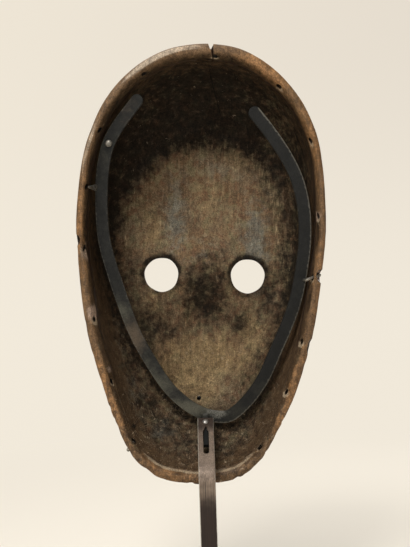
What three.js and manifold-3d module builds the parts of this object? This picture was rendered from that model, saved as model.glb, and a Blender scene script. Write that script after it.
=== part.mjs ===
// A carved wooden face mask, open behind, held by a steel cradle on a post with a square foot.
// Millimetres, +Z up. The origin is the centre of the foot's underside. The face looks along -Y,
// and the hollow back with the cradle looks along +Y. In the mask's own frame the middle of the
// rim is the origin, x runs across, z up, and depth is measured forward from the rim's plane.
import * as THREE from "three";
import { mergeVertices } from "three/addons/utils/BufferGeometryUtils.js";
import Module from "manifold-3d";

const wasm = await Module();
wasm.setup();

// Mask: overall sizes and the wall
const MASK_HEIGHT = 260;
const MASK_WIDTH = 148.6;
const FACE_DEPTH = 61;
const FLOOR_THICKNESS = 9.5;
const RIM_WIDTH_SIDE = 7.4;
const RIM_WIDTH_CROWN = 8.5;
const RIM_WIDTH_CHIN = 10.5;
const RIM_ROUNDING = 2.6;
const MASK_ROLL_DEG = 2.87;

// Mask: openings and damage
const EYE_HOLE_RADIUS = 10.6;
const EYE_SPACING = 54.8;
const EYE_RING_WIDTH = 4.6;
const EYE_RING_HEIGHT = 2.4;
const LACE_HOLE_RADIUS = 1.6;
const LACE_HOLE_FLARE = 2.9;
const LACE_HOLE_DEPTH = 6.5;
const LACE_HOLE_SLANT_DEG = 24;
const LACE_HOLE_OVERRUN = { outside: 4, inside: 5 };
const MOUTH_HOLE_RADIUS = 1.4;
const CRACK_WIDTH = 3.2;
const CRACK_NOTCH = 5.9;
const CRACK_REACH = 14;
const CRACK_GAP = 0.6;
const CRACK_LENGTH = 30;

// Cradle: one flat strip bent to a heart shape, with what is fixed on it
const BAND_WIDTH = 7.6;
const BAND_THICKNESS = 2.4;
const BAND_DEPTH = 16.3;
const BAND_LEAN_UP = -0.11;
const BAND_LEAN_ACROSS = 0.07;
const TANG_WIDTH = 3.2;
const TANG_THICKNESS = 2.2;
const TANG_LENGTH = 27;
const PRONG_ELBOW = 2.9;
const STRIP_GAP = 0.5;
const HOLE_GAP = 0.45;
const RIVET_HEAD_RADIUS = 1.5;
const RIVET_HEAD_HEIGHT = 1;
const RIVET_SHANK_RADIUS = 0.8;

// Post and foot
const POST_WIDTH = 9.6;
const POST_THICKNESS = 5;
const POST_STANDOFF = 14;
const POST_SLANT_DEG = 54;
const POST_BEND_RADIUS = 9;
const POST_TOP_GAP = 4.6;
const SLOT_WIDTH = 3.4;
const SLOT_NECK_WIDTH = 1.5;
const SLOT_START = 7.3;
const SLOT_LENGTH = 22.5;
const SLOT_NECK_LENGTH = 7;
const PIN_BELOW_TOP = 3.6;
const CHIN_CLEARANCE = 70;
const FOOT_SIDE = 120;
const FOOT_THICKNESS = 8;
const FOOT_EDGE = 1;
const FOOT_SOCKET_DEPTH = 5;
const RIM_PLANE_Y = 20;
const FIT_GAP = 0.3;
const NAIL_STANDOUT = 1.6;

// Places on the mask, as shares of its half width and half height
const FACE_AXIS = -0.028;
const EYE_LEVEL = -0.05;
const MOUTH_HOLE = [0.003, -0.642];
const HUB_LEVEL = -0.25;

// The rim's outer edge from the crown down the +X side, round the chin and up the -X side
const OUTLINE = [
  [0, 1],
  [0.3, 0.972],
  [0.564, 0.884],
  [0.765, 0.756],
  [0.891, 0.607],
  [0.96, 0.458],
  [0.998, 0.207],
  [0.976, 0],
  [0.905, -0.293],
  [0.781, -0.533],
  [0.688, -0.681],
  [0.544, -0.852],
  [0.42, -0.928],
  [0.27, -0.974],
  [0, -0.995],
  [-0.27, -0.974],
  [-0.42, -0.926],
  [-0.54, -0.848],
  [-0.689, -0.682],
  [-0.788, -0.537],
  [-0.9, -0.297],
  [-0.964, 0],
  [-0.984, 0.204],
  [-0.95, 0.457],
  [-0.892, 0.607],
  [-0.766, 0.757],
  [-0.564, 0.885],
  [-0.3, 0.975],
];

// How soon the rim's widths and walls turn from those of the sides to those of the crown and chin
const CROWN_EASE = 1.6;
const CHIN_EASE = 1.1;

// How square the rim's rounded edge is, and over which share of a wall the relief fades in
const RIM_SQUARENESS = 0.8;
const RELIEF_FADE = 0.9;

// From the rim to the face or the floor a wall follows (1 - x)^a + s^b = 1, where x is the share
// of the wall's width and s the share of its depth: width, a and b at the side, crown and chin
const OUTER_WALL = {
  side: [27, 2.3, 2.8],
  crown: [52, 2.1, 2.3],
  chin: [34, 2.1, 2.1],
};
const INNER_WALL = {
  side: [22, 2.2, 3],
  crown: [38, 2, 2.6],
  chin: [54, 1.5, 1.3],
};

// Soft forms that swell out of the face (or sink into it, below zero): rise in mm, then place and
// reach across and up as shares of the half width and half height
const FACE_FORMS = [
  { rise: 13, x: 0, reachX: 0.62, z: 0.48, reachZ: 0.33 },
  { rise: -8, x: 0, reachX: 0.85, z: -0.05, reachZ: 0.13 },
  { rise: 4, x: 0.48, reachX: 0.2, z: -0.32, reachZ: 0.14 },
  { rise: 4, x: -0.48, reachX: 0.2, z: -0.32, reachZ: 0.14 },
  { rise: 11, x: 0, reachX: 0.36, z: -0.62, reachZ: 0.15 },
  { rise: -11, x: 0, reachX: 2, z: -1, reachZ: 0.28 },
  { rise: 5, x: 0, reachX: 0.26, z: -0.9, reachZ: 0.08 },
];
const FLOOR_FORMS = [
  { rise: 9.5, x: 0, reachX: 0.6, z: 0.45, reachZ: 0.34 },
  { rise: -5.5, x: 0, reachX: 0.7, z: -0.05, reachZ: 0.14 },
  { rise: 6, x: 0, reachX: 0.16, z: -0.22, reachZ: 0.15 },
  { rise: 4, x: 0, reachX: 0.3, z: -0.52, reachZ: 0.16 },
  { rise: -7, x: 0, reachX: 2, z: -0.8, reachZ: 0.22 },
];

// Carved details of the face: heights and widths in mm, places and reaches as shares
const NOSE = {
  bridge: { across: 0, level: 0.1, rise: 2, radius: 3.4 },
  tip: { across: 0, level: -0.35, rise: 15, radius: 4.2 },
  leftWing: { across: -9.5, level: -0.35, rise: 3, radius: 4.4 },
  rightWing: { across: 9.5, level: -0.35, rise: 3, radius: 4.4 },
};
const FOREHEAD_RIB = { rise: 1.5, width: 3, from: 0.18, to: 0.82, knots: 14 };
const MOUTH_LEVEL = -0.645;
const LIPS = { halfWidth: 22, halfHeight: 10.5, rise: 9, forward: 0 };
const LIP_SLIT = { halfWidth: 16, halfHeight: 2.4, rise: 10.8, forward: 6.75 };

// Angles of the lacing holes round the rim, from the +X side towards the crown
const LACE_HOLE_ANGLES = [
  8, 34.2, 52.6, 72.3, 92.5, 112, 130, 155, 183.2, 214.5, 234, 251, 290.5, 307.6, 334.3,
];
const NAIL_HOLE_ANGLE = 290.5;
const CRACK_ANGLE = 91.7;

// Worn bites out of the rim's outer edge: angle, depth and half length
const RIM_BITES = [
  [9, 1.8, 5],
  [331, 1.2, 6],
  [184.6, 3.4, 4.4],
  [216, 1.6, 7],
];

// Outer edge of the cradle strip, as shares of the hollow's half width and half height, from the
// free end at +X down past the tang and up to the free end at -X
const BAND_EDGE = [
  [0.644, 0.813],
  [0.823, 0.679],
  [0.904, 0.591],
  [0.953, 0.462],
  [0.962, 0.262],
  [0.935, 0.11],
  [0.859, -0.044],
  [0.656, -0.351],
  [0.502, -0.506],
  [0.32, -0.652],
  [0.163, -0.732],
  [0.013, -0.781],
  [-0.123, -0.802],
  [-0.295, -0.797],
  [-0.462, -0.719],
  [-0.617, -0.594],
  [-0.731, -0.446],
  [-0.84, -0.292],
  [-0.904, -0.177],
  [-0.951, -0.022],
  [-0.974, 0.13],
  [-0.958, 0.281],
  [-0.889, 0.431],
  [-0.773, 0.556],
  [-0.614, 0.678],
  [-0.493, 0.759],
];
const RIVET_SHARE = 0.0705;
const TANG_X = -4;
const TANG_SEARCH = { from: 0.3, to: 0.7, steps: 400 };

// The two wire prongs: the lacing hole that each turns into, and how far in from the rim it ends
const PRONGS = [
  { name: "cradle_prong_high", hole: 34.2, tipInset: 3 },
  { name: "cradle_prong_notch", hole: 183.2, tipInset: 0 },
];

// How finely the mask's skin is laid out, and how far it may be simplified afterwards
const SPOKES = 96;
const OUTER_RINGS = { wall: 8, face: 20 };
const INNER_RINGS = { wall: 6, face: 9 };
const RIM_RINGS = 3;
const RING_SPACING = 0.9;
const EYE_SIDES = 26;
const LACE_HOLE_SIDES = 7;
const ROD_SIDES = 8;
const NOSE_SIDES = 12;
const SKIN_TOLERANCE = 0.3;
const BAND_STEPS = 64;
const BAND_CAP_STEPS = 6;
const POST_BEND_STEPS = 6;

// Plain colours of the finishes: colour, roughness and metalness
const CARVED_WOOD = [0x5a4332, 0.62, 0];
const BLACK_STEEL = [0x2b2b2a, 0.5, 0.8];
const WORN_STEEL = [0x6b5f55, 0.4, 0.9];
const BRIGHT_STEEL = [0x8d8a83, 0.4, 0.9];

const HALF_WIDTH = MASK_WIDTH / 2;
const HALF_HEIGHT = MASK_HEIGHT / 2;
const HOLLOW_HALF_WIDTH = HALF_WIDTH - RIM_WIDTH_SIDE;
const HOLLOW_HALF_HEIGHTS = { up: HALF_HEIGHT - RIM_WIDTH_CROWN, down: HALF_HEIGHT - RIM_WIDTH_CHIN };
const HUB = new THREE.Vector3(FACE_AXIS * HALF_WIDTH, HUB_LEVEL * HALF_HEIGHT, 0);
const PRONG_RADIUS = LACE_HOLE_RADIUS - HOLE_GAP;
const EYES = [-1, 1].map((side) => ({
  x: HUB.x + (side * EYE_SPACING) / 2,
  z: EYE_LEVEL * HALF_HEIGHT,
}));

const PLAN_AXIS = new THREE.Vector3(0, 0, 1);

const radians = THREE.MathUtils.degToRad;
const mix = THREE.MathUtils.lerp;
const smooth = (value) => THREE.MathUtils.smoothstep(value, 0, 1);
const bump = (offset, reach) => Math.exp(-((offset / reach) ** 2));
const sum = (values) => values.reduce((total, value) => total + value, 0);
const vector = ([x, y, z]) => new THREE.Vector3(x, y, z);

// The rim's closed outline as evenly spaced points, x across and y up
function rimOutline(count) {
  const knots = OUTLINE.map(([u, v]) => new THREE.Vector3(u * HALF_WIDTH, v * HALF_HEIGHT, 0));
  const loop = new THREE.CatmullRomCurve3(knots, true, "catmullrom", 0.5);
  loop.arcLengthDivisions = 4 * SPOKES;
  return loop.getSpacedPoints(count).slice(0, count);
}

const RIM = rimOutline(SPOKES);
const FINE_RIM = rimOutline(6 * SPOKES);
const spokeLength = (rim) => rim.distanceTo(HUB);

// A value at height level of the rim, between its three values at the side, crown and chin
function alongRim(level, side, crown, chin) {
  const up = THREE.MathUtils.clamp(level, 0, 1) ** CROWN_EASE;
  const down = THREE.MathUtils.clamp(-level, 0, 1) ** CHIN_EASE;
  return side + (crown - side) * up + (chin - side) * down;
}

const rimWidthAt = (level) => alongRim(level, RIM_WIDTH_SIDE, RIM_WIDTH_CROWN, RIM_WIDTH_CHIN);
const wallAt = (level, { side, crown, chin }) =>
  side.map((value, k) => alongRim(level, value, crown[k], chin[k]));
const swell = (u, v, form) => form.rise * bump(u - form.x, form.reachX) * bump(v - form.z, form.reachZ);

// How far the face stands out from the plane of the cheeks, or the floor is cut below its own
// plane, at shares u across and v up
const faceRelief = (u, v) => sum(FACE_FORMS.map((form) => swell(u, v, form)));
const floorRelief = (u, v) => sum(FLOOR_FORMS.map((form) => swell(u, v, form)));

// A point on the spoke from a rim point to the hub: inset from the rim's outer edge, and depth
function spokePoint(rim, inset, depth) {
  const share = inset / spokeLength(rim);
  return [mix(rim.x, HUB.x, share), -depth, mix(rim.y, HUB.y, share)];
}

// A skin of the mask: the surface that starts at an inset from the rim's outer edge, runs down a
// wall and then lies at a base depth with relief on it
function skin(startAt, wall, baseDepth, relief) {
  const widthAt = (rim) => wallAt(rim.y / HALF_HEIGHT, wall)[0];
  const depthAt = (rim, inset) => {
    const [width, a, b] = wallAt(rim.y / HALF_HEIGHT, wall);
    const across = THREE.MathUtils.clamp((inset - startAt(rim)) / width, 0, 1);
    const down = (1 - (1 - across) ** a) ** (1 / b);
    const [x, , z] = spokePoint(rim, inset, 0);
    const carved = relief((x - HUB.x) / HALF_WIDTH, z / HALF_HEIGHT) * smooth(across / RELIEF_FADE);
    return RIM_ROUNDING + (baseDepth - RIM_ROUNDING) * down + carved;
  };
  const at = (rim, inset) => spokePoint(rim, inset, depthAt(rim, inset));
  return {
    depthAt,
    wallPoint: (rim, share) =>
      at(rim, startAt(rim) + widthAt(rim) * (1 - Math.cos((share * Math.PI) / 2) ** RING_SPACING)),
    facePoint: (rim, share) => at(rim, mix(startAt(rim) + widthAt(rim), spokeLength(rim), share)),
  };
}

const rimWidth = (rim) => rimWidthAt(rim.y / HALF_HEIGHT);
const outside = skin(() => 0, OUTER_WALL, FACE_DEPTH, faceRelief);
const inside = skin(rimWidth, INNER_WALL, FACE_DEPTH - FLOOR_THICKNESS, floorRelief);

// The rounded edge from the outer wall to the hollow, share 0 to 1 across the rim
function rimEdgePoint(rim, share) {
  const turn = share * Math.PI;
  const inset = (rimWidth(rim) * (1 - Math.cos(turn))) / 2;
  return spokePoint(rim, inset, RIM_ROUNDING * (1 - Math.sin(turn) ** RIM_SQUARENESS));
}

// The closed skin of the mask: in rings from the middle of the face over the rim to the hollow
function maskSkin() {
  const rings = (count, point) => Array.from({ length: count }, (_, k) => RIM.map((rim) => point(rim, k)));
  return ringSkin(
    [
      ...rings(OUTER_RINGS.face - 1, (rim, k) => outside.facePoint(rim, 1 - (k + 1) / OUTER_RINGS.face)),
      ...rings(OUTER_RINGS.wall + 1, (rim, k) => outside.wallPoint(rim, 1 - k / OUTER_RINGS.wall)),
      ...rings(RIM_RINGS, (rim, k) => rimEdgePoint(rim, (k + 1) / (RIM_RINGS + 1))),
      ...rings(INNER_RINGS.wall + 1, (rim, k) => inside.wallPoint(rim, k / INNER_RINGS.wall)),
      ...rings(INNER_RINGS.face - 1, (rim, k) => inside.facePoint(rim, (k + 1) / INNER_RINGS.face)),
    ],
    outside.facePoint(RIM[0], 1),
    inside.facePoint(RIM[0], 1),
  );
}

// A closed surface through rings of equal count, shut at each end by a hub point
function ringSkin(rings, firstHub, lastHub) {
  const count = rings[0].length;
  const vertices = [firstHub, ...rings.flat(), lastHub];
  const last = vertices.length - 1;
  const at = (ring, i) => 1 + ring * count + (i % count);
  const faces = [];
  for (let i = 0; i < count; i++) {
    faces.push([0, at(0, i + 1), at(0, i)]);
    faces.push([last, at(rings.length - 1, i), at(rings.length - 1, i + 1)]);
    for (let ring = 0; ring + 1 < rings.length; ring++) {
      faces.push([at(ring, i), at(ring, i + 1), at(ring + 1, i + 1)]);
      faces.push([at(ring, i), at(ring + 1, i + 1), at(ring + 1, i)]);
    }
  }
  const geometry = new THREE.BufferGeometry();
  geometry.setAttribute("position", new THREE.Float32BufferAttribute(vertices.flat(), 3));
  geometry.setIndex(faces.flat());
  return geometry;
}

function solidOf(geometry) {
  const bare = geometry.index ? geometry.toNonIndexed() : geometry.clone();
  bare.deleteAttribute("normal");
  bare.deleteAttribute("uv");
  const merged = mergeVertices(bare, 1e-4);
  return new wasm.Manifold(
    new wasm.Mesh({
      numProp: 3,
      vertProperties: merged.attributes.position.array,
      triVerts: new Uint32Array(merged.index.array),
    }),
  );
}

function geometryOf(solid) {
  const mesh = solid.getMesh();
  const geometry = new THREE.BufferGeometry();
  geometry.setAttribute("position", new THREE.BufferAttribute(mesh.vertProperties, 3));
  geometry.setIndex(new THREE.BufferAttribute(mesh.triVerts, 1));
  return geometry;
}

const without = (geometry, cutters) =>
  cutters.reduce((solid, cutter) => solid.subtract(solidOf(cutter)), solidOf(geometry));

function named(name, geometry, color, roughness, metalness) {
  const mesh = new THREE.Mesh(geometry, new THREE.MeshStandardMaterial({ color, roughness, metalness }));
  mesh.name = name;
  return mesh;
}

// A turned rod between two points, its radii given as [share of the length, radius] pairs
function rodBetween(from, to, profile, sides = ROD_SIDES) {
  const axis = new THREE.Vector3().subVectors(to, from);
  const points = profile.map(([share, radius]) => new THREE.Vector2(radius, share * axis.length()));
  const rod = new THREE.LatheGeometry(points, sides);
  const turn = new THREE.Quaternion().setFromUnitVectors(new THREE.Vector3(0, 1, 0), axis.normalize());
  return rod.applyQuaternion(turn).translate(from.x, from.y, from.z);
}

const plainRod = (radius) => [[0, 0], [0, radius], [1, radius], [1, 0]];

// Where the rim's outer edge lies at an angle round the mask's middle
function rimAt(angleDeg) {
  const ray = new THREE.Vector3(Math.cos(radians(angleDeg)), Math.sin(radians(angleDeg)), 0);
  return FINE_RIM.reduce((best, p) => (p.angleTo(ray) < best.angleTo(ray) ? p : best));
}

// The centre line of a lacing hole: from outside the wall it slants back to the rim's inner edge
function laceHoleLine(angleDeg, beyond, within) {
  const rim = rimAt(angleDeg);
  const slope = Math.tan(radians(LACE_HOLE_SLANT_DEG));
  const at = (inset) => vector(spokePoint(rim, inset, LACE_HOLE_DEPTH - inset * slope));
  return [at(-beyond), at(rimWidth(rim) + within)];
}

function laceHoleCutter(angleDeg) {
  const { outside: before, inside: after } = LACE_HOLE_OVERRUN;
  const [from, to] = laceHoleLine(angleDeg, before, after);
  const flareFrom = 1 - (after + LACE_HOLE_FLARE) / from.distanceTo(to);
  const profile = [
    [0, 0],
    [0, LACE_HOLE_RADIUS],
    [flareFrom, LACE_HOLE_RADIUS],
    [1, LACE_HOLE_RADIUS + LACE_HOLE_FLARE],
    [1, 0],
  ];
  return rodBetween(from, to, profile, LACE_HOLE_SIDES);
}

// A bite out of the rim's outer edge, like the print of a pebble
function biteCutter([angleDeg, depth, halfLength]) {
  const rim = rimAt(angleDeg);
  const bulge = 0.8 * halfLength;
  const [x, , z] = spokePoint(rim, depth - bulge, 0);
  return new THREE.SphereGeometry(1, 10, 6)
    .scale(bulge, 3 * depth + 2, halfLength)
    .rotateY(-Math.atan2(z, x))
    .translate(x, 0, z);
}

// The drying crack at the crown: an open notch at the outer edge that ends in a narrow slit
function crackCutter() {
  const rim = rimAt(CRACK_ANGLE);
  const half = CRACK_WIDTH / 2;
  const slit = CRACK_GAP / 2;
  const outline = [[-half, 2], [-slit, -CRACK_NOTCH], [-slit, -CRACK_REACH], [slit, -CRACK_REACH],
    [2 * slit, -CRACK_NOTCH], [half, 2]];
  return new THREE.ExtrudeGeometry(new THREE.Shape(outline.map(([x, y]) => new THREE.Vector2(x, y))),
    { depth: CRACK_LENGTH, bevelEnabled: false })
    .rotateX(Math.PI / 2)
    .translate(rim.x, RIM_ROUNDING, rim.y);
}

// A raised ring round an eye, turned about the hole's axis and sunk into the face
function eyeRing(eye) {
  const face = FACE_DEPTH + faceRelief((eye.x - HUB.x) / HALF_WIDTH, eye.z / HALF_HEIGHT);
  const inner = EYE_HOLE_RADIUS - 1;
  const outer = EYE_HOLE_RADIUS + EYE_RING_WIDTH;
  const crest = face + EYE_RING_HEIGHT;
  const sunk = face - FLOOR_THICKNESS / 2;
  const profile = [[inner, sunk], [outer, sunk], [outer, face - 1], [mix(inner, outer, 0.8), crest - 0.7],
    [mix(inner, outer, 0.5), crest], [inner, crest - 1], [inner, sunk]];
  return new THREE.LatheGeometry(profile.map(([r, y]) => new THREE.Vector2(r, y)), EYE_SIDES)
    .rotateX(Math.PI)
    .translate(eye.x, 0, eye.z);
}

// The raised line down the forehead, which follows the face's own curve on its median
function foreheadRib() {
  const { rise, width, from, to, knots } = FOREHEAD_RIB;
  const front = Array.from({ length: knots + 1 }, (_, k) => {
    const level = mix(from, to, k / knots) * HALF_HEIGHT;
    const above = k > 0 && k < knots ? rise : -rise;
    return new THREE.Vector2(level, outside.depthAt(RIM[0], HALF_HEIGHT - level) + above);
  });
  const back = front.map(({ x, y }) => new THREE.Vector2(x, y - FLOOR_THICKNESS / 2)).reverse();
  const toMask = new THREE.Matrix4().makeBasis(
    new THREE.Vector3(0, 0, 1), new THREE.Vector3(0, -1, 0), new THREE.Vector3(1, 0, 0));
  const section = new THREE.Shape([...front, ...back]);
  return new THREE.ExtrudeGeometry(section, { depth: width, bevelEnabled: false })
    .translate(0, 0, HUB.x - width / 2)
    .applyMatrix4(toMask);
}

// The nose: the hull of four balls, one at the bridge, one at the tip and two for the wings
function noseSolid() {
  const ball = ({ across, level, rise, radius }) => {
    const front = FACE_DEPTH + faceRelief(across / HALF_WIDTH, level) + rise;
    const middle = [HUB.x + across, radius - front, level * HALF_HEIGHT];
    return wasm.Manifold.sphere(radius, NOSE_SIDES).translate(middle);
  };
  return wasm.Manifold.hull(Object.values(NOSE).map(ball));
}

// An oval body at the mouth, its middle in the face's surface or a little forward of it
function mouthOval({ halfWidth, halfHeight, rise, forward }) {
  const depth = FACE_DEPTH + faceRelief(0, MOUTH_LEVEL) + forward;
  return new THREE.SphereGeometry(1, 20, 10)
    .scale(halfWidth, rise, halfHeight)
    .translate(HUB.x, -depth, MOUTH_LEVEL * HALF_HEIGHT);
}

function maskGeometry() {
  const through = (x, z, radius, sides) =>
    rodBetween(new THREE.Vector3(x, 0, z), new THREE.Vector3(x, -2 * FACE_DEPTH, z), plainRod(radius), sides);
  const added = [...EYES.map(eyeRing), foreheadRib(), mouthOval(LIPS)];
  const cutters = [
    mouthOval(LIP_SLIT),
    ...EYES.map((eye) => through(eye.x, eye.z, EYE_HOLE_RADIUS, EYE_SIDES)),
    through(MOUTH_HOLE[0] * HALF_WIDTH, MOUTH_HOLE[1] * HALF_HEIGHT, MOUTH_HOLE_RADIUS, ROD_SIDES),
    ...LACE_HOLE_ANGLES.map(laceHoleCutter),
    ...RIM_BITES.map(biteCutter),
    crackCutter(),
  ];
  const whole = added.reduce((solid, form) => solid.add(solidOf(form)), solidOf(maskSkin()).add(noseSolid()));
  const carved = cutters.reduce((solid, cutter) => solid.subtract(solidOf(cutter)), whole);
  return geometryOf(carved.simplify(SKIN_TOLERANCE));
}

// Depth of the cradle strip's middle at a place, since it lies in a leaning plane
const bandDepthAt = (x, z) => BAND_DEPTH + BAND_LEAN_UP * z + BAND_LEAN_ACROSS * x;

// The strip's centre line, half its width in from its outer edge
function bandLine() {
  const knots = BAND_EDGE.map(([u, v]) => {
    const tall = v > 0 ? HOLLOW_HALF_HEIGHTS.up : HOLLOW_HALF_HEIGHTS.down;
    return new THREE.Vector3(u * HOLLOW_HALF_WIDTH, v * tall, 0);
  });
  const edge = new THREE.CatmullRomCurve3(knots, false, "centripetal");
  const inward = (t) => {
    const along = edge.getTangentAt(t);
    return new THREE.Vector3(along.y, -along.x, 0);
  };
  return (t, offset) => edge.getPointAt(t).addScaledVector(inward(t), offset);
}

function stripGeometry() {
  const line = bandLine();
  const half = BAND_WIDTH / 2;
  const side = (offset) => Array.from({ length: BAND_STEPS + 1 }, (_, k) => line(k / BAND_STEPS, offset));
  const cap = (t, way) =>
    Array.from({ length: BAND_CAP_STEPS - 1 }, (_, k) => {
      const middle = line(t, half);
      const spoke = line(t, 0).sub(middle);
      return middle.add(spoke.applyAxisAngle(PLAN_AXIS, (way * (k + 1) * Math.PI) / BAND_CAP_STEPS));
    });
  const outline = [...side(0), ...cap(1, 1), ...side(BAND_WIDTH).reverse(), ...cap(0, -1).reverse()];
  const plan = new THREE.Shape(outline.map(({ x, y }) => new THREE.Vector2(x, y)));
  const strip = new THREE.ExtrudeGeometry(plan, { depth: BAND_THICKNESS, bevelEnabled: false });
  const p = strip.getAttribute("position");
  for (let i = 0; i < p.count; i++) {
    const [x, z, thick] = [p.getX(i), p.getY(i), p.getZ(i)];
    p.setXYZ(i, x, BAND_THICKNESS / 2 - thick - bandDepthAt(x, z), z);
  }
  return strip;
}

// A point of the cradle strip's back face, at a share of its length and an offset from its edge
function bandBackPoint(share, offset) {
  const { x, y } = bandLine()(share, offset);
  return new THREE.Vector3(x, BAND_THICKNESS / 2 - bandDepthAt(x, y), y);
}

// The place where the tang leaves the strip: its middle, where the strip crosses x = TANG_X
function tangRoot() {
  const line = bandLine();
  const { from, to, steps } = TANG_SEARCH;
  const places = Array.from({ length: steps }, (_, k) => line(mix(from, to, k / steps), BAND_WIDTH / 2));
  const root = places.reduce((best, p) => (Math.abs(p.x - TANG_X) < Math.abs(best.x - TANG_X) ? p : best));
  return new THREE.Vector3(root.x, -bandDepthAt(root.x, root.y), root.y);
}

// The mask's own frame in the stand: rolled about the tang's root, which stands over the post
function maskPlacement() {
  const roll = new THREE.Matrix4().makeRotationY(-radians(MASK_ROLL_DEG));
  const root = tangRoot().applyMatrix4(roll);
  const height = FOOT_THICKNESS + CHIN_CLEARANCE + HALF_HEIGHT;
  return new THREE.Matrix4().makeTranslation(-root.x, RIM_PLANE_Y, height).multiply(roll);
}

// The slanted upper post's frame: x across, y down along the post from the tang's root, z out
function slantFrame(root) {
  const slant = radians(POST_SLANT_DEG);
  const down = new THREE.Vector3(0, Math.sin(slant), -Math.cos(slant));
  const across = new THREE.Vector3(1, 0, 0);
  const out = new THREE.Vector3().crossVectors(across, down);
  return new THREE.Matrix4().makeBasis(across, down, out).setPosition(root);
}

const POST_TOP = BAND_THICKNESS / 2 + POST_TOP_GAP;
const slab = (width, from, to, thickness) =>
  new THREE.BoxGeometry(width, to - from, thickness).translate(0, (from + to) / 2, 0);
const pinAt = (profile) =>
  rodBetween(
    new THREE.Vector3(0, POST_TOP + PIN_BELOW_TOP, -POST_THICKNESS / 2),
    new THREE.Vector3(0, POST_TOP + PIN_BELOW_TOP, POST_THICKNESS / 2 + FIT_GAP + RIVET_HEAD_HEIGHT),
    profile,
  );
const pinHole = () => pinAt(plainRod(RIVET_SHANK_RADIUS + FIT_GAP)).translate(0, 0, -FIT_GAP);

// A rivet's profile for a rod that ends in a low domed head
function rivetProfile(length) {
  const under = 1 - RIVET_HEAD_HEIGHT / length;
  const shoulder = mix(under, 1, 0.55);
  return [[0, 0], [0, RIVET_SHANK_RADIUS], [under, RIVET_SHANK_RADIUS], [under, RIVET_HEAD_RADIUS],
    [shoulder, 0.85 * RIVET_HEAD_RADIUS], [1, 0.3 * RIVET_HEAD_RADIUS], [1, 0]];
}

function bandGeometry(placement, slant) {
  const rivet = bandBackPoint(RIVET_SHARE, BAND_WIDTH / 2);
  const across = new THREE.Vector3(0, 2 * BAND_THICKNESS, 0);
  const rivetHole = rodBetween(
    rivet.clone().sub(across), rivet.clone().add(across), plainRod(RIVET_SHANK_RADIUS + FIT_GAP));
  const strip = geometryOf(without(stripGeometry(), [rivetHole])).applyMatrix4(placement);
  const tang = slab(TANG_WIDTH, 0, TANG_LENGTH, TANG_THICKNESS).applyMatrix4(slant);
  return geometryOf(solidOf(strip).add(solidOf(tang)).subtract(solidOf(pinHole().applyMatrix4(slant))));
}

function bandRivetGeometry() {
  const face = bandBackPoint(RIVET_SHARE, BAND_WIDTH / 2);
  const from = face.clone().add(new THREE.Vector3(0, -BAND_THICKNESS - FIT_GAP, 0));
  const to = face.clone().add(new THREE.Vector3(0, STRIP_GAP + RIVET_HEAD_HEIGHT, 0));
  return rodBetween(from, to, rivetProfile(from.distanceTo(to)));
}

// A wire prong that stands up from the strip's back face and turns out into a lacing hole
function prongGeometry({ hole, tipInset }) {
  const rim = rimAt(hole);
  const slope = Math.tan(radians(LACE_HOLE_SLANT_DEG));
  const holePoint = (inset) => vector(spokePoint(rim, inset, LACE_HOLE_DEPTH - inset * slope));
  const elbow = holePoint(rimWidth(rim) + PRONG_ELBOW);
  const tip = holePoint(tipInset);
  const stripDepth = bandDepthAt(elbow.x, elbow.z) - BAND_THICKNESS / 2;
  const foot = new THREE.Vector3(elbow.x, STRIP_GAP - stripDepth, elbow.z);
  const rod = (from, to) => solidOf(rodBetween(from, to, plainRod(PRONG_RADIUS)));
  const ball = (at) => solidOf(new THREE.SphereGeometry(PRONG_RADIUS, 8, 6).translate(at.x, at.y, at.z));
  const forms = [rod(foot, elbow), ball(elbow), rod(elbow, tip), ball(tip)];
  const wire = forms.reduce((solid, form) => solid.add(form));
  return geometryOf(wire.simplify(SKIN_TOLERANCE / 5));
}

// A nail driven through the wall in a lacing hole, its end standing a little out of the wall
function nailGeometry() {
  const [from, to] = laceHoleLine(NAIL_HOLE_ANGLE, NAIL_STANDOUT, -1);
  return rodBetween(from, to, plainRod(PRONG_RADIUS));
}

// The post's line from its top to the foot, with a round bend, as points across and up
function postLine(root) {
  const slant = radians(POST_SLANT_DEG);
  const along = new THREE.Vector2(Math.sin(slant), -Math.cos(slant));
  const away = new THREE.Vector2(0, -1);
  const top = new THREE.Vector2(root.y, root.z).addScaledVector(along, POST_TOP);
  const run = (RIM_PLANE_Y + POST_STANDOFF - top.x) / along.x;
  const corner = top.clone().addScaledVector(along, run);
  const turn = Math.acos(along.dot(away));
  const bendStart = corner.clone().addScaledVector(along, -POST_BEND_RADIUS * Math.tan(turn / 2));
  const inward = away.clone().addScaledVector(along, -away.dot(along)).normalize();
  const centre = bendStart.clone().addScaledVector(inward, POST_BEND_RADIUS);
  const bend = Array.from({ length: POST_BEND_STEPS + 1 }, (_, k) => {
    const angle = (turn * k) / POST_BEND_STEPS;
    return centre.clone()
      .addScaledVector(inward, -POST_BEND_RADIUS * Math.cos(angle))
      .addScaledVector(along, POST_BEND_RADIUS * Math.sin(angle));
  });
  const bottom = new THREE.Vector2(corner.x, FOOT_THICKNESS - FOOT_SOCKET_DEPTH + FIT_GAP);
  return [top, ...bend, bottom];
}

// The slot's outline in the slanted frame: a narrow neck above a wider opening
function slotCutter() {
  const start = POST_TOP + SLOT_START;
  const neck = start + SLOT_NECK_LENGTH;
  const end = start + SLOT_LENGTH;
  const [slim, wide] = [SLOT_NECK_WIDTH / 2, SLOT_WIDTH / 2];
  const half = [[0.6 * slim, start], [slim, start + slim], [slim, neck - wide], [wide, neck + 0.5 * wide],
    [wide, end - 0.6 * wide], [0.5 * wide, end]];
  const outline = [...half, ...half.map(([x, y]) => [-x, y]).reverse()];
  return new THREE.ExtrudeGeometry(new THREE.Shape(outline.map(([x, y]) => new THREE.Vector2(x, y))),
    { depth: 2 * POST_THICKNESS, bevelEnabled: false }).translate(0, 0, -POST_THICKNESS);
}

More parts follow.
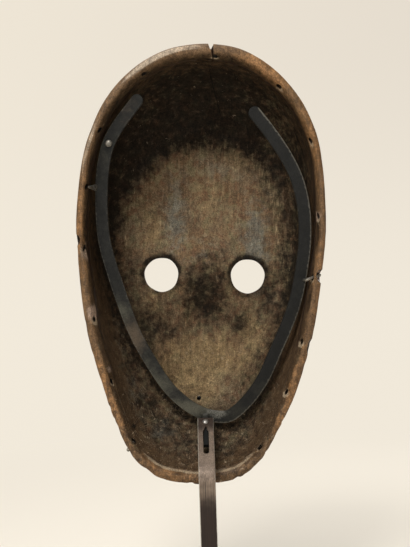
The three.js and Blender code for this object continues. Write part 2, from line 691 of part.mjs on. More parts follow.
function postGeometry(root, slant) {
  const line = postLine(root);
  const offset = (side) => line.map((point, k) => {
    const before = line[Math.max(k - 1, 0)];
    const after = line[Math.min(k + 1, line.length - 1)];
    const along = after.clone().sub(before).normalize();
    const outward = new THREE.Vector2(along.y, -along.x);
    return point.clone().addScaledVector(outward, (side * POST_THICKNESS) / 2);
  });
  const bar = new THREE.ExtrudeGeometry(new THREE.Shape([...offset(1), ...offset(-1).reverse()]), {
    depth: POST_WIDTH,
    bevelEnabled: false,
  });
  const sideways = new THREE.Matrix4().makeBasis(
    new THREE.Vector3(0, 1, 0), new THREE.Vector3(0, 0, 1), new THREE.Vector3(1, 0, 0));
  bar.translate(0, 0, -POST_WIDTH / 2).applyMatrix4(sideways);
  const socket = slab(TANG_WIDTH + 2 * FIT_GAP, 0, TANG_LENGTH + FIT_GAP, TANG_THICKNESS + 2 * FIT_GAP);
  const cutters = [socket, slotCutter(), pinHole()];
  return geometryOf(without(bar, cutters.map((cutter) => cutter.applyMatrix4(slant))));
}

function footGeometry() {
  const half = FOOT_SIDE / 2 - FOOT_EDGE;
  const corners = [[-half, -half], [half, -half], [half, half], [-half, half]];
  const plate = new THREE.ExtrudeGeometry(new THREE.Shape(corners.map(([x, y]) => new THREE.Vector2(x, y))), {
    depth: FOOT_THICKNESS - 2 * FOOT_EDGE,
    bevelSize: FOOT_EDGE,
    bevelThickness: FOOT_EDGE,
    bevelSegments: 1,
  }).translate(0, 0, FOOT_EDGE);
  const socket = new THREE.BoxGeometry(
    POST_WIDTH + 2 * FIT_GAP, POST_THICKNESS + 2 * FIT_GAP, 2 * FOOT_SOCKET_DEPTH)
    .translate(0, RIM_PLANE_Y + POST_STANDOFF, FOOT_THICKNESS);
  return geometryOf(without(plate, [socket]));
}

const placement = maskPlacement();
const root = tangRoot().applyMatrix4(placement);
const slant = slantFrame(root);
const pinLength = POST_THICKNESS + FIT_GAP + RIVET_HEAD_HEIGHT;

const part = new THREE.Group();
part.add(
  named("mask", maskGeometry().applyMatrix4(placement), ...CARVED_WOOD),
  named("cradle_band", bandGeometry(placement, slant), ...BLACK_STEEL),
  named("cradle_rivet", bandRivetGeometry().applyMatrix4(placement), ...BRIGHT_STEEL),
  ...PRONGS.map((prong) => named(prong.name, prongGeometry(prong).applyMatrix4(placement), ...BRIGHT_STEEL)),
  named("chin_nail", nailGeometry().applyMatrix4(placement), ...BRIGHT_STEEL),
  named("stand_post", postGeometry(root, slant), ...WORN_STEEL),
  named("post_pin", pinAt(rivetProfile(pinLength)).applyMatrix4(slant), ...BRIGHT_STEEL),
  named("foot_plate", footGeometry(), ...BLACK_STEEL),
);
export default part;
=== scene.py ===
"""Looks of a carved wooden face mask, hollow behind, held by a steel cradle on a slotted post.

Every piece lies in the stand's frame in metres: +Z up, the origin in the middle of the foot's
underside, the face looking along -Y and the hollow back along +Y. Sizes in the classes are in
millimetres. The mask's own frame has x across, z up and depth forward from the rim's plane.
"""

from __future__ import annotations

import logging
import math
from dataclasses import dataclass, field
from enum import Enum
from typing import Callable, Sequence, Union

import bmesh
import bpy
import numpy as np
from mathutils import Matrix, Vector


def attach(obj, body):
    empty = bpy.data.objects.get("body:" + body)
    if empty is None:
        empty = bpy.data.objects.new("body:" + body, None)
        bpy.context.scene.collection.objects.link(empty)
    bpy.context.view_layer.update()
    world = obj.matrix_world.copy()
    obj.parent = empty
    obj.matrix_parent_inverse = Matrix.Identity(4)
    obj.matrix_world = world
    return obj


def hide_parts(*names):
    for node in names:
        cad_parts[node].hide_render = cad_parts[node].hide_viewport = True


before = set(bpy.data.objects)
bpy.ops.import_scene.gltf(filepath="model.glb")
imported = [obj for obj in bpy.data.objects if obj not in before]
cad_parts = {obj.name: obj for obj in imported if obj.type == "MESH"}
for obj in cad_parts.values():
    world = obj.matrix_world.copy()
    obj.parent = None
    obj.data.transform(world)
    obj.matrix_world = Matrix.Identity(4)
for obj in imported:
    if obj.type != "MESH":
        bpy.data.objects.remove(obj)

Array = np.ndarray
Socket = bpy.types.NodeSocket
Value = Union[Socket, float, Sequence[float]]
Color = tuple[float, float, float, float]
Profile = Sequence[tuple[float, float]]
Places = tuple[tuple[float, float], ...]

MM = 0.001
BODY = "root"
# The inset from the mask's rim is stored for its finish as a share of this many millimetres
INSET_RANGE = 40.0

logging.basicConfig(level=logging.INFO, format="%(message)s")
log = logging.getLogger("mask_on_stand")


class Blend(Enum):
    """How a second colour is laid over a first."""

    OVER = "MIX"
    MULTIPLY = "MULTIPLY"


def paint(red: int, green_and_sheen: int, blue: int) -> Color:
    """Gives the linear colour of an 8-bit display colour."""
    share = np.array([red, green_and_sheen, blue]) / 255
    linear = np.where(share <= 0.04045, share / 12.92, ((share + 0.055) / 1.055) ** 2.4)
    return (*map(float, linear), 1.0)


def smooth(value: Array) -> Array:
    """Eases 0 to 1 with level ends: three times the square less twice the cube."""
    share = np.clip(value, 0, 1)
    return share * share * (3 - 2 * share)


def between(value: Array, low: float, high: float) -> Array:
    """Eases from 0 at low to 1 at high."""
    return smooth((value - low) / (high - low))


def bump(offset: Array, reach: float) -> Array:
    """A bell of height 1: the exponential of minus the square of offset over reach."""
    return np.exp(-((offset / reach) ** 2))


def noise(points: Array, cell: float, seed: int) -> Array:
    """Gives smooth noise from -1 to 1.

    Random values stand at the corners of a cubic lattice and are blended between its corners by
    smooth steps along the three axes.

    Args:
        points: places of shape (..., 3).
        cell: edge of the lattice's cells, in the points' unit.
        seed: which lattice.

    Returns:
        An array of the points' shape without its last axis.
    """
    lattice = np.random.default_rng(seed).uniform(-1, 1, (48, 48, 48))
    corner = np.floor(points / cell).astype(int)
    share = smooth(points / cell - corner)
    total = np.zeros(points.shape[:-1])
    for step in np.ndindex(2, 2, 2):
        weight = np.prod(np.where(step, share, 1 - share), axis=-1)
        i, j, k = np.moveaxis((corner + step) % 48, -1, 0)
        total += weight * lattice[i, j, k]
    return total


def catmull_rom(knots: Array, closed: bool, power: float, steps: int = 40) -> Array:
    """Carries a smooth curve through knots.

    Each span is a cubic with the slopes of a Catmull-Rom curve whose parameter grows with the
    distance between knots to the given power: 0 is the uniform kind, 0.5 the centripetal.

    Args:
        knots: points of shape (n, 2).
        closed: whether the last knot joins the first.
        power: power of the distance between knots.
        steps: points for each span.

    Returns:
        Points of shape (m, 2) along the curve.
    """
    if closed:
        ends = [np.roll(knots, shift, axis=0) for shift in (1, 0, -1, -2)]
    else:
        longer = np.vstack([2 * knots[0] - knots[1], knots, 2 * knots[-1] - knots[-2]])
        ends = [longer[k : len(longer) - 3 + k] for k in range(4)]
    gaps = [np.linalg.norm(b - a, axis=1, keepdims=True) ** power for a, b in zip(ends, ends[1:])]
    slope_in = ((ends[1] - ends[0]) / gaps[0] - (ends[2] - ends[0]) / (gaps[0] + gaps[1])) * gaps[1]
    slope_in = slope_in + ends[2] - ends[1]
    slope_out = ((ends[3] - ends[2]) / gaps[2] - (ends[3] - ends[1]) / (gaps[1] + gaps[2])) * gaps[1]
    slope_out = slope_out + ends[2] - ends[1]
    t = np.linspace(0, 1, steps, endpoint=False)[None, :, None]
    start, stop, leave, arrive = (value[:, None, :] for value in (ends[1], ends[2], slope_in, slope_out))
    curve = (
        start
        + leave * t
        + (3 * (stop - start) - 2 * leave - arrive) * t**2
        + (2 * (start - stop) + leave + arrive) * t**3
    ).reshape(-1, 2)
    return curve if closed else np.vstack([curve, knots[-1]])


def evenly(points: Array, count: int, closed: bool) -> Array:
    """Spreads count points at equal lengths along a line of points of shape (n, 2 or 3)."""
    line = np.vstack([points, points[:1]]) if closed else points
    length = np.concatenate([[0], np.cumsum(np.linalg.norm(np.diff(line, axis=0), axis=1))])
    wanted = np.linspace(0, length[-1], count, endpoint=not closed)
    return np.stack([np.interp(wanted, length, line[:, k]) for k in range(line.shape[1])], axis=1)


def ring_faces(rings: int, around: int) -> Array:
    """Gives the quads between neighbouring rings whose points are joined round."""
    ring, turn = np.arange(rings - 1)[:, None] * around, np.arange(around)[None, :]
    after = (turn + 1) % around
    corners = [ring + turn, ring + after, ring + around + after, ring + around + turn]
    return np.stack(corners, axis=-1).reshape(-1, 4)


def mesh_piece(name: str, vertices: Array, faces: list, sharp_deg: float = 40) -> bpy.types.Object:
    """Makes a closed piece with its faces outwards; edges that turn by over sharp_deg stay sharp."""
    mesh = bpy.data.meshes.new(name)
    mesh.from_pydata(vertices.tolist(), [], faces)
    work = bmesh.new()
    work.from_mesh(mesh)
    bmesh.ops.remove_doubles(work, verts=work.verts, dist=1e-7)
    bmesh.ops.dissolve_degenerate(work, edges=work.edges, dist=1e-7)
    bmesh.ops.recalc_face_normals(work, faces=work.faces)
    work.to_mesh(mesh)
    work.free()
    piece = bpy.data.objects.new(name, mesh)
    bpy.context.scene.collection.objects.link(piece)
    shade_smooth(piece, sharp_deg)
    return piece


def shade_smooth(piece: bpy.types.Object, sharp_deg: float) -> None:
    """Shades a piece smooth, with its edges sharp where they turn by more than sharp_deg."""
    mesh = piece.data
    mesh.polygons.foreach_set("use_smooth", np.ones(len(mesh.polygons), bool))
    mesh.set_sharp_from_angle(angle=math.radians(sharp_deg))


def ringed_piece(name: str, rings: Array, sharp_deg: float = 40) -> bpy.types.Object:
    """Makes a closed piece through rings of points, each end shut by a fan to the ring's middle."""
    count, around = rings.shape[:2]
    vertices = np.concatenate([rings.reshape(-1, 3), rings[[0, -1]].mean(axis=1)])
    turn = np.arange(around)
    after = (turn + 1) % around
    first = np.stack([np.full(around, count * around), after, turn], axis=-1)
    base = (count - 1) * around
    last = np.stack([np.full(around, count * around + 1), base + turn, base + after], axis=-1)
    faces = [*ring_faces(count, around).tolist(), *first.tolist(), *last.tolist()]
    return mesh_piece(name, vertices, faces, sharp_deg)


def side_axes(axis: Array) -> tuple[Array, Array]:
    """Gives two unit vectors at right angles to each of the unit axes of shape (..., 3)."""
    guide = np.where(np.abs(axis[..., 2:]) < 0.9, [0.0, 0.0, 1.0], [1.0, 0.0, 0.0])
    first = np.cross(guide, axis)
    first = first / np.linalg.norm(first, axis=-1, keepdims=True)
    return first, np.cross(axis, first)


def round_rings(line: Array, radius: Array, around: int, flatten: float = 1.0) -> Array:
    """Carries a circle along a line, flattened on its second side axis: rings square to the line."""
    along = np.gradient(line, axis=0)
    along = along / np.linalg.norm(along, axis=1, keepdims=True)
    first, second = side_axes(along)
    turn = np.linspace(0, 2 * np.pi, around, endpoint=False)[None, :, None]
    spoke = np.cos(turn) * first[:, None] + flatten * np.sin(turn) * second[:, None]
    return line[:, None, :] + np.asarray(radius)[:, None, None] * spoke


def turned_rings(start: Array, end: Array, profile: Profile, around: int) -> Array:
    """Turns a profile, pairs of share of the length and radius, about the axis from start to end."""
    axis = (end - start) / np.linalg.norm(end - start)
    first, second = side_axes(axis)
    turn = np.linspace(0, 2 * np.pi, around, endpoint=False)[None, :, None]
    share, radius = (np.array(column)[:, None, None] for column in zip(*profile))
    return start + share * (end - start) + radius * (np.cos(turn) * first + np.sin(turn) * second)


def baked(piece: bpy.types.Object) -> None:
    """Works out a piece's modifiers and puts the result into its mesh."""
    result = bpy.data.meshes.new_from_object(piece.evaluated_get(bpy.context.evaluated_depsgraph_get()))
    piece.modifiers.clear()
    old, piece.data = piece.data, result
    result.name = piece.name
    bpy.data.meshes.remove(old)


def combined(piece: bpy.types.Object, others: Sequence[bpy.types.Object], join: bool = False) -> None:
    """Cuts other solids out of a piece, or joins them to it, and removes them."""
    for other in others:
        step = piece.modifiers.new(other.name, "BOOLEAN")
        step.operation = "UNION" if join else "DIFFERENCE"
        step.object = other
        step.solver = "MANIFOLD"
    baked(piece)
    for other in others:
        bpy.data.objects.remove(other)


def vertices_of(piece: bpy.types.Object) -> Array:
    """Gives a piece's vertices in metres, of shape (n, 3)."""
    places = np.empty(len(piece.data.vertices) * 3, np.float32)
    piece.data.vertices.foreach_get("co", places)
    return places.reshape(-1, 3).astype(float)


def record_values(piece: bpy.types.Object, values: dict[str, Array]) -> None:
    """Stores named numbers for each vertex, which the finishes read."""
    for name, numbers in values.items():
        layer = piece.data.attributes.new(name, "FLOAT", "POINT")
        layer.data.foreach_set("value", np.clip(numbers, 0, 1).astype(np.float32).ravel())


def finished(
    piece: bpy.types.Object, material: bpy.types.Material, slot: str, *nodes: str
) -> bpy.types.Object:
    """Dresses a piece in a finish, puts it on the stand and names the nodes it stands for."""
    piece.data.materials.clear()
    piece.data.materials.append(material)
    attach(piece, BODY)
    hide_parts(*nodes)
    log.info("%s: %d vertices for %s", piece.name, len(piece.data.vertices), ", ".join(nodes))
    return piece


# Shader nodes


class Bench:
    """Lays out shader nodes in one tree. Its methods give the socket that carries their result."""

    def __init__(self, tree: bpy.types.NodeTree) -> None:
        """Starts work in a tree."""
        self.tree = tree

    def node(self, kind: str, settings: dict | None = None, **inputs: Value) -> bpy.types.Node:
        """Adds a node with its properties, and its inputs by name with underscores for spaces."""
        made = self.tree.nodes.new("ShaderNode" + kind)
        for name, value in (settings or {}).items():
            setattr(made, name, value)
        for name, value in inputs.items():
            self.feed(made.inputs[name.replace("_", " ")], value)
        return made

    def feed(self, socket: Socket, value: Value) -> None:
        """Links a socket, or sets its own value."""
        if isinstance(value, bpy.types.NodeSocket):
            self.tree.links.new(value, socket)
        else:
            socket.default_value = value

    def math(self, operation: str, first: Value, second: Value = 0.0, third: Value = 0.0) -> Socket:
        """Works out one sum of up to three numbers."""
        made = self.node("Math", {"operation": operation})
        for socket, value in zip(made.inputs, (first, second, third)):
            self.feed(socket, value)
        return made.outputs[0]

    def eased(self, value: Value, low: Value, high: Value) -> Socket:
        """Eases from 0 at low to 1 at high."""
        made = self.node(
            "MapRange", {"interpolation_type": "SMOOTHSTEP"}, Value=value, From_Min=low, From_Max=high
        )
        return made.outputs["Result"]

    def ranged(self, value: Value, low: Value, high: Value) -> Socket:
        """Turns 0 to 1 into low to high."""
        return self.node("MapRange", None, Value=value, To_Min=low, To_Max=high).outputs["Result"]

    def laid(self, share: Value, under: Value, over: Value, blend: Blend = Blend.OVER) -> Socket:
        """Lays one colour over another by a share."""
        made = self.node("Mix", {"data_type": "RGBA", "blend_type": blend.value})
        for number, value in ((0, share), (6, under), (7, over)):
            self.feed(made.inputs[number], value)
        return made.outputs[2]

    def shaded(self, share: Value, under: Socket, over: Socket) -> Socket:
        """Mixes two surfaces by a share."""
        made = self.node("MixShader", None, Fac=share)
        self.feed(made.inputs[1], under)
        self.feed(made.inputs[2], over)
        return made.outputs[0]

    def cloudy(
        self, vector: Value, scale: float, detail: float = 2, rough: float = 0.5, warp: float = 0
    ) -> Socket:
        """Gives a noise texture's value at a vector."""
        knobs = {"Scale": scale, "Detail": detail, "Roughness": rough, "Distortion": warp}
        return self.node("TexNoise", None, Vector=vector, **knobs).outputs["Fac"]

    def shrunk(self, vector: Value, size: Value) -> Socket:
        """Divides a vector by a size."""
        inverse = self.math("DIVIDE", 1.0, size)
        return self.node("VectorMath", {"operation": "SCALE"}, Vector=vector, Scale=inverse).outputs[0]

    def stored(self, name: str) -> Socket:
        """Reads a named number of the piece's vertices."""
        return self.node("Attribute", {"attribute_name": name}).outputs["Fac"]

    def placed(
        self,
        at: Sequence[float] = (0, 0, 0),
        turn: Sequence[float] = (0, 0, 0),
        size: Sequence[float] = (1, 1, 1),
    ) -> Socket:
        """Gives the piece's own coordinates, sized, turned and moved."""
        source = self.node("TexCoord").outputs["Object"]
        return self.node("Mapping", None, Vector=source, Location=at, Rotation=turn, Scale=size).outputs[0]

    def in_millimetres(self) -> Socket:
        """Gives the piece's own coordinates in millimetres."""
        return self.placed(size=(1 / MM,) * 3)

    def grouped(self, group: bpy.types.NodeTree, **inputs: Value) -> bpy.types.NodeOutputs:
        """Places a node group with its own values and gives its outputs."""
        made = self.tree.nodes.new("ShaderNodeGroup")
        made.node_tree = group
        for name, value in inputs.items():
            self.feed(made.inputs[name.replace("_", " ")], value)
        return made.outputs


@dataclass(frozen=True)
class Effect:
    """A shader node group with named inputs and outputs, which is built once."""

    name: str
    inputs: tuple[tuple[str, float | None], ...]
    outputs: tuple[str, ...]
    build: Callable[[Bench, dict[str, Socket]], tuple[Socket, ...]]

    def tree(self) -> bpy.types.NodeTree:
        """Gives the group, and makes it at the first call. An input with no number is a vector."""
        made = bpy.data.node_groups.get(self.name)
        if made:
            return made
        made = bpy.data.node_groups.new(self.name, "ShaderNodeTree")
        for name, value in self.inputs:
            kind = "NodeSocketVector" if value is None else "NodeSocketFloat"
            socket = made.interface.new_socket(name=name, in_out="INPUT", socket_type=kind)
            if value is not None:
                socket.default_value = value
        for name in self.outputs:
            made.interface.new_socket(name=name, in_out="OUTPUT", socket_type="NodeSocketFloat")
        bench = Bench(made)
        entry, leave = made.nodes.new("NodeGroupInput"), made.nodes.new("NodeGroupOutput")
        results = self.build(bench, {name: entry.outputs[name] for name, _ in self.inputs})
        for name, socket in zip(self.outputs, results):
            made.links.new(socket, leave.inputs[name])
        return made


def _streaks(bench: Bench, given: dict[str, Socket]) -> tuple[Socket, ...]:
    """Noise drawn out along the vector's third axis."""
    split = bench.node("SeparateXYZ", None, Vector=given["Vector"]).outputs
    across = [bench.math("DIVIDE", split[axis], given["Width"]) for axis in (0, 1)]
    along = bench.math("DIVIDE", split[2], given["Length"])
    vector = bench.node("CombineXYZ", None, X=across[0], Y=across[1], Z=along).outputs[0]
    return (bench.cloudy(vector, 1.0, detail=3, rough=0.6, warp=0.7),)


def _mottle(bench: Bench, given: dict[str, Socket]) -> tuple[Socket, ...]:
    """Blotches of a given size, from soft to hard by contrast, and fine grit a sixth as large."""
    vector = bench.shrunk(given["Vector"], given["Size"])
    value = bench.cloudy(vector, 1.0, detail=5, rough=0.6, warp=0.5)
    spread = bench.math("DIVIDE", 0.25, given["Contrast"])
    blotch = bench.eased(value, bench.math("SUBTRACT", 0.5, spread), bench.math("ADD", 0.5, spread))
    return blotch, bench.cloudy(vector, 6.0, detail=2, rough=0.7)


def _worn(bench: Bench, given: dict[str, Socket]) -> tuple[Socket, ...]:
    """A stored place eased at one half, its border made ragged by noise."""
    value = bench.cloudy(bench.shrunk(given["Vector"], given["Size"]), 1.0, detail=4, rough=0.65, warp=0.3)
    shift = bench.math("MULTIPLY_ADD", value, given["Raggedness"], given["Place"])
    level = bench.math("MULTIPLY_ADD", given["Raggedness"], -0.5, shift)
    low = bench.math("SUBTRACT", 0.5, given["Softness"])
    return (bench.eased(level, low, bench.math("ADD", 0.5, given["Softness"])),)


def _scratches(bench: Bench, given: dict[str, Socket]) -> tuple[Socket, ...]:
    """Thin lines where noise drawn out along a turned axis crosses one half, broken up by more noise."""
    turned = bench.node(
        "VectorRotate", {"rotation_type": "Y_AXIS"}, Vector=given["Vector"], Angle=given["Angle"]
    ).outputs[0]
    split = bench.node("SeparateXYZ", None, Vector=turned).outputs
    across = bench.math("DIVIDE", split[0], given["Spacing"])
    along = bench.math("DIVIDE", split[2], given["Length"])
    vector = bench.node("CombineXYZ", None, X=across, Z=along).outputs[0]
    value = bench.cloudy(vector, 1.0, detail=0)
    near = bench.math("ABSOLUTE", bench.math("SUBTRACT", value, 0.5))
    line = bench.math("SUBTRACT", 1.0, bench.eased(near, 0.004, 0.02))
    breaks = bench.cloudy(turned, 0.16, detail=3, rough=0.7)
    level = bench.math("SUBTRACT", 0.78, bench.math("MULTIPLY", given["Amount"], 0.4))
    shown = bench.eased(breaks, level, bench.math("ADD", level, 0.08))
    return (bench.math("MULTIPLY", line, shown),)


def _hair_line(bench: Bench, given: dict[str, Socket]) -> tuple[Socket, ...]:
    """One thin line that wanders: x is Start plus Lean times the height above Low."""
    split = bench.node("SeparateXYZ", None, Vector=given["Vector"]).outputs
    rise = bench.math("SUBTRACT", split[2], given["Low"])
    leant = bench.math("MULTIPLY_ADD", rise, given["Lean"], given["Start"])
    wander = bench.math("SUBTRACT", bench.cloudy(given["Vector"], 0.22, detail=3), 0.5)
    centre = bench.math("MULTIPLY_ADD", wander, given["Wander"], leant)
    near = bench.math("ABSOLUTE", bench.math("SUBTRACT", split[0], centre))
    half = bench.math("MULTIPLY", given["Width"], 0.5)
    line = bench.math("SUBTRACT", 1.0, bench.eased(near, bench.math("MULTIPLY", half, 0.4), half))
    begins = bench.eased(rise, 0.0, 4.0)
    fades = bench.eased(split[2], bench.math("SUBTRACT", given["High"], 4.0), given["High"])
    shown = bench.math("MULTIPLY", begins, bench.math("SUBTRACT", 1.0, fades))
    return (bench.math("MULTIPLY", line, shown),)


STREAKS = Effect("drawn_streaks", (("Vector", None), ("Width", 1.0), ("Length", 10.0)), ("Streak",), _streaks)
MOTTLE = Effect("mottle", (("Vector", None), ("Size", 5.0), ("Contrast", 1.0)), ("Blotch", "Grit"), _mottle)
WORN = Effect(
    "worn_place",
    (("Vector", None), ("Place", 0.0), ("Size", 3.0), ("Raggedness", 0.5), ("Softness", 0.2)),
    ("Mask",),
    _worn,
)
SCRATCHES = Effect(
    "scratches",
    (("Vector", None), ("Angle", 0.0), ("Spacing", 2.0), ("Length", 30.0), ("Amount", 0.5)),
    ("Mask",),
    _scratches,
)
HAIR_LINE = Effect(
    "hair_line",
    (
        ("Vector", None),
        ("Start", 0.0),
        ("Lean", 0.0),
        ("Low", 0.0),
        ("High", 10.0),
        ("Width", 1.0),
        ("Wander", 1.0),
    ),
    ("Mask",),
    _hair_line,
)


class Finish(Bench):
    """A bench for a material: it places the shared effects and lays paint over paint."""

    def streaks(self, place: Value, width: float, length: float) -> Socket:
        """Gives noise drawn out along the third axis."""
        return self.grouped(STREAKS.tree(), Vector=place, Width=width, Length=length)["Streak"]

    def mottle(self, place: Value, size: float, contrast: float) -> tuple[Socket, Socket]:
        """Gives blotches and their grit."""
        made = self.grouped(MOTTLE.tree(), Vector=place, Size=size, Contrast=contrast)
        return made["Blotch"], made["Grit"]

    def worn(
        self, place: Value, mark: Value | str, size: float, raggedness: float, softness: float
    ) -> Socket:
        """Gives the ragged mask of a mark: a value, or the name of a number that the piece stores."""
        spot = self.stored(mark) if isinstance(mark, str) else mark
        border = {"Size": size, "Raggedness": raggedness, "Softness": softness}
        return self.grouped(WORN.tree(), Vector=place, Place=spot, **border)["Mask"]

    def over(self, under: Value, paint_on: Value, mask: Value, strength: float) -> Socket:
        """Lays a paint over another, by a mask times a strength."""
        return self.laid(self.math("MULTIPLY", mask, strength), under, paint_on)

    def toned(self, color: Value, tone: Socket) -> Socket:
        """Multiplies a colour by a grey tone."""
        grey = self.node("CombineColor", None, Red=tone, Green=tone, Blue=tone).outputs[0]
        return self.laid(1.0, color, grey, Blend.MULTIPLY)

    def relief(self, surface: bpy.types.Node, strength: float, distance: float, height: Socket) -> None:
        """Feeds a height, of up to a distance in millimetres, into a surface's normal."""
        made = self.node("Bump", None, Strength=strength, Distance=distance * MM, Height=height)
        self.feed(surface.inputs["Normal"], made.outputs[0])


def new_material(name: str) -> tuple[bpy.types.Material, Finish, bpy.types.Node]:
    """Makes a material and gives it with its bench and its Principled BSDF."""
    material = bpy.data.materials.new(name)
    material.use_nodes = True
    tree = material.node_tree
    tree.nodes.clear()
    bench = Finish(tree)
    surface = bench.node("BsdfPrincipled")
    output = bench.node("OutputMaterial")
    tree.links.new(surface.outputs[0], output.inputs["Surface"])
    return material, bench, surface


@dataclass(frozen=True)
class Placement:
    """Where the mask's own frame lies in the stand: rolled about the axis from front to back."""

    roll_deg: float = 2.87
    centre: tuple[float, float, float] = (-0.6466, 20.0, 208.0)

    def to_stand(self, x: Array, depth: Array, z: Array) -> Array:
        """Turns places in the mask's frame, in millimetres, into the stand's frame in metres."""
        c, s = math.cos(math.radians(self.roll_deg)), math.sin(math.radians(self.roll_deg))
        cx, cy, cz = self.centre
        return np.stack(np.broadcast_arrays(cx + c * x - s * z, cy - depth, cz + s * x + c * z), axis=-1) * MM

    def to_mask(self, points: Array) -> tuple[Array, Array, Array]:
        """Turns places in the stand, in metres, into x, depth and z in the mask's frame."""
        c, s = math.cos(math.radians(self.roll_deg)), math.sin(math.radians(self.roll_deg))
        away = points / MM - np.array(self.centre)
        return c * away[:, 0] + s * away[:, 2], -away[:, 1], c * away[:, 2] - s * away[:, 0]

    def coordinates(self, bench: Bench) -> Socket:
        """Gives a material the mask's own frame in millimetres, as x, minus depth and z."""
        roll = math.radians(self.roll_deg)
        at = Matrix.Rotation(roll, 3, "Y") @ Vector(self.centre)
        return bench.placed(at=[-value for value in at], turn=(0, roll, 0), size=(1 / MM,) * 3)


# The mask


@dataclass(frozen=True)
class Wall:
    """How a surface falls away from the rim: width in millimetres and the powers a and b of the
    curve (1 - x)^a + s^b = 1, where x is the share of the width and s the share of the depth."""

    side: tuple[float, float, float]
    crown: tuple[float, float, float]
    chin: tuple[float, float, float]

    def at(self, level: Array) -> list[Array]:
        """Gives width, a and b at heights of the rim."""
        return [along_rim(level, *values) for values in zip(self.side, self.crown, self.chin)]

    def share(self, across: Array, level: Array) -> Array:
        """Gives the share of the depth that is reached at a share of the width."""
        _, a, b = self.at(level)
        return (1 - (1 - np.clip(across, 0, 1)) ** a) ** (1 / b)


@dataclass(frozen=True)
class Swell:
    """A soft form that rises out of the carving, or sinks into it."""

    rise: float
    x: float
    reach_x: float
    z: float
    reach_z: float

    def height(self, u: Array, v: Array) -> Array:
        """The rise times a bell across and a bell up."""
        return self.rise * bump(u - self.x, self.reach_x) * bump(v - self.z, self.reach_z)


@dataclass(frozen=True)
class Sites:
    """Where a piece's vertices lie on the mask, each an array with one number for each vertex.

    The inset is the distance from the rim's outer edge towards the hub, the level the height of the
    rim there as a share of half the mask's height, and the edge the rim's width there. Through is
    the share of the wood's thickness from the hollow's skin, and across that of the inner wall.
    """

    x: Array
    depth: Array
    z: Array
    angle: Array
    inset: Array
    level: Array
    edge: Array
    through: Array
    across: Array
    front: Array


@dataclass(frozen=True)
class Patch:
    """A place on the hollow's floor where the surface changes, with soft borders, in millimetres."""

    x: float
    z: float
    reach_x: float
    reach_z: float
    strength: float


def along_rim(level: Array, side: float, crown: float, chin: float) -> Array:
    """Gives a value between its three values at the side, crown and chin, by height of the rim."""
    up, down = np.clip(level, 0, 1) ** 1.6, np.clip(-level, 0, 1) ** 1.1
    return side + (crown - side) * up + (chin - side) * down


def far_from(knots: Sequence[tuple[float, float]], x: Array, z: Array) -> Array:
    """Gives the distance of places to a smooth line through knots (x, z)."""
    line = evenly(catmull_rom(np.array(knots, float), closed=False, power=0.5), 90, closed=False)
    return np.hypot(x[:, None] - line[None, :, 0], z[:, None] - line[None, :, 1]).min(axis=1)


def patched(patches: Sequence[Patch], x: Array, z: Array) -> Array:
    """Joins patches: 1 less the product of what each of them leaves."""
    left = np.ones_like(x)
    for patch in patches:
        across, up = bump(x - patch.x, patch.reach_x), bump(z - patch.z, patch.reach_z)
        left = left * (1 - patch.strength * across * up)
    return 1 - left


@dataclass(frozen=True)
class Grain:
    """The noises that the layers of the wood's finish share."""

    place: Socket
    fine: Socket
    broad: Socket
    long: Socket
    large: Socket
    medium: Socket
    small: Socket
    tiny: Socket
    grit: Socket
    round_rim: Socket


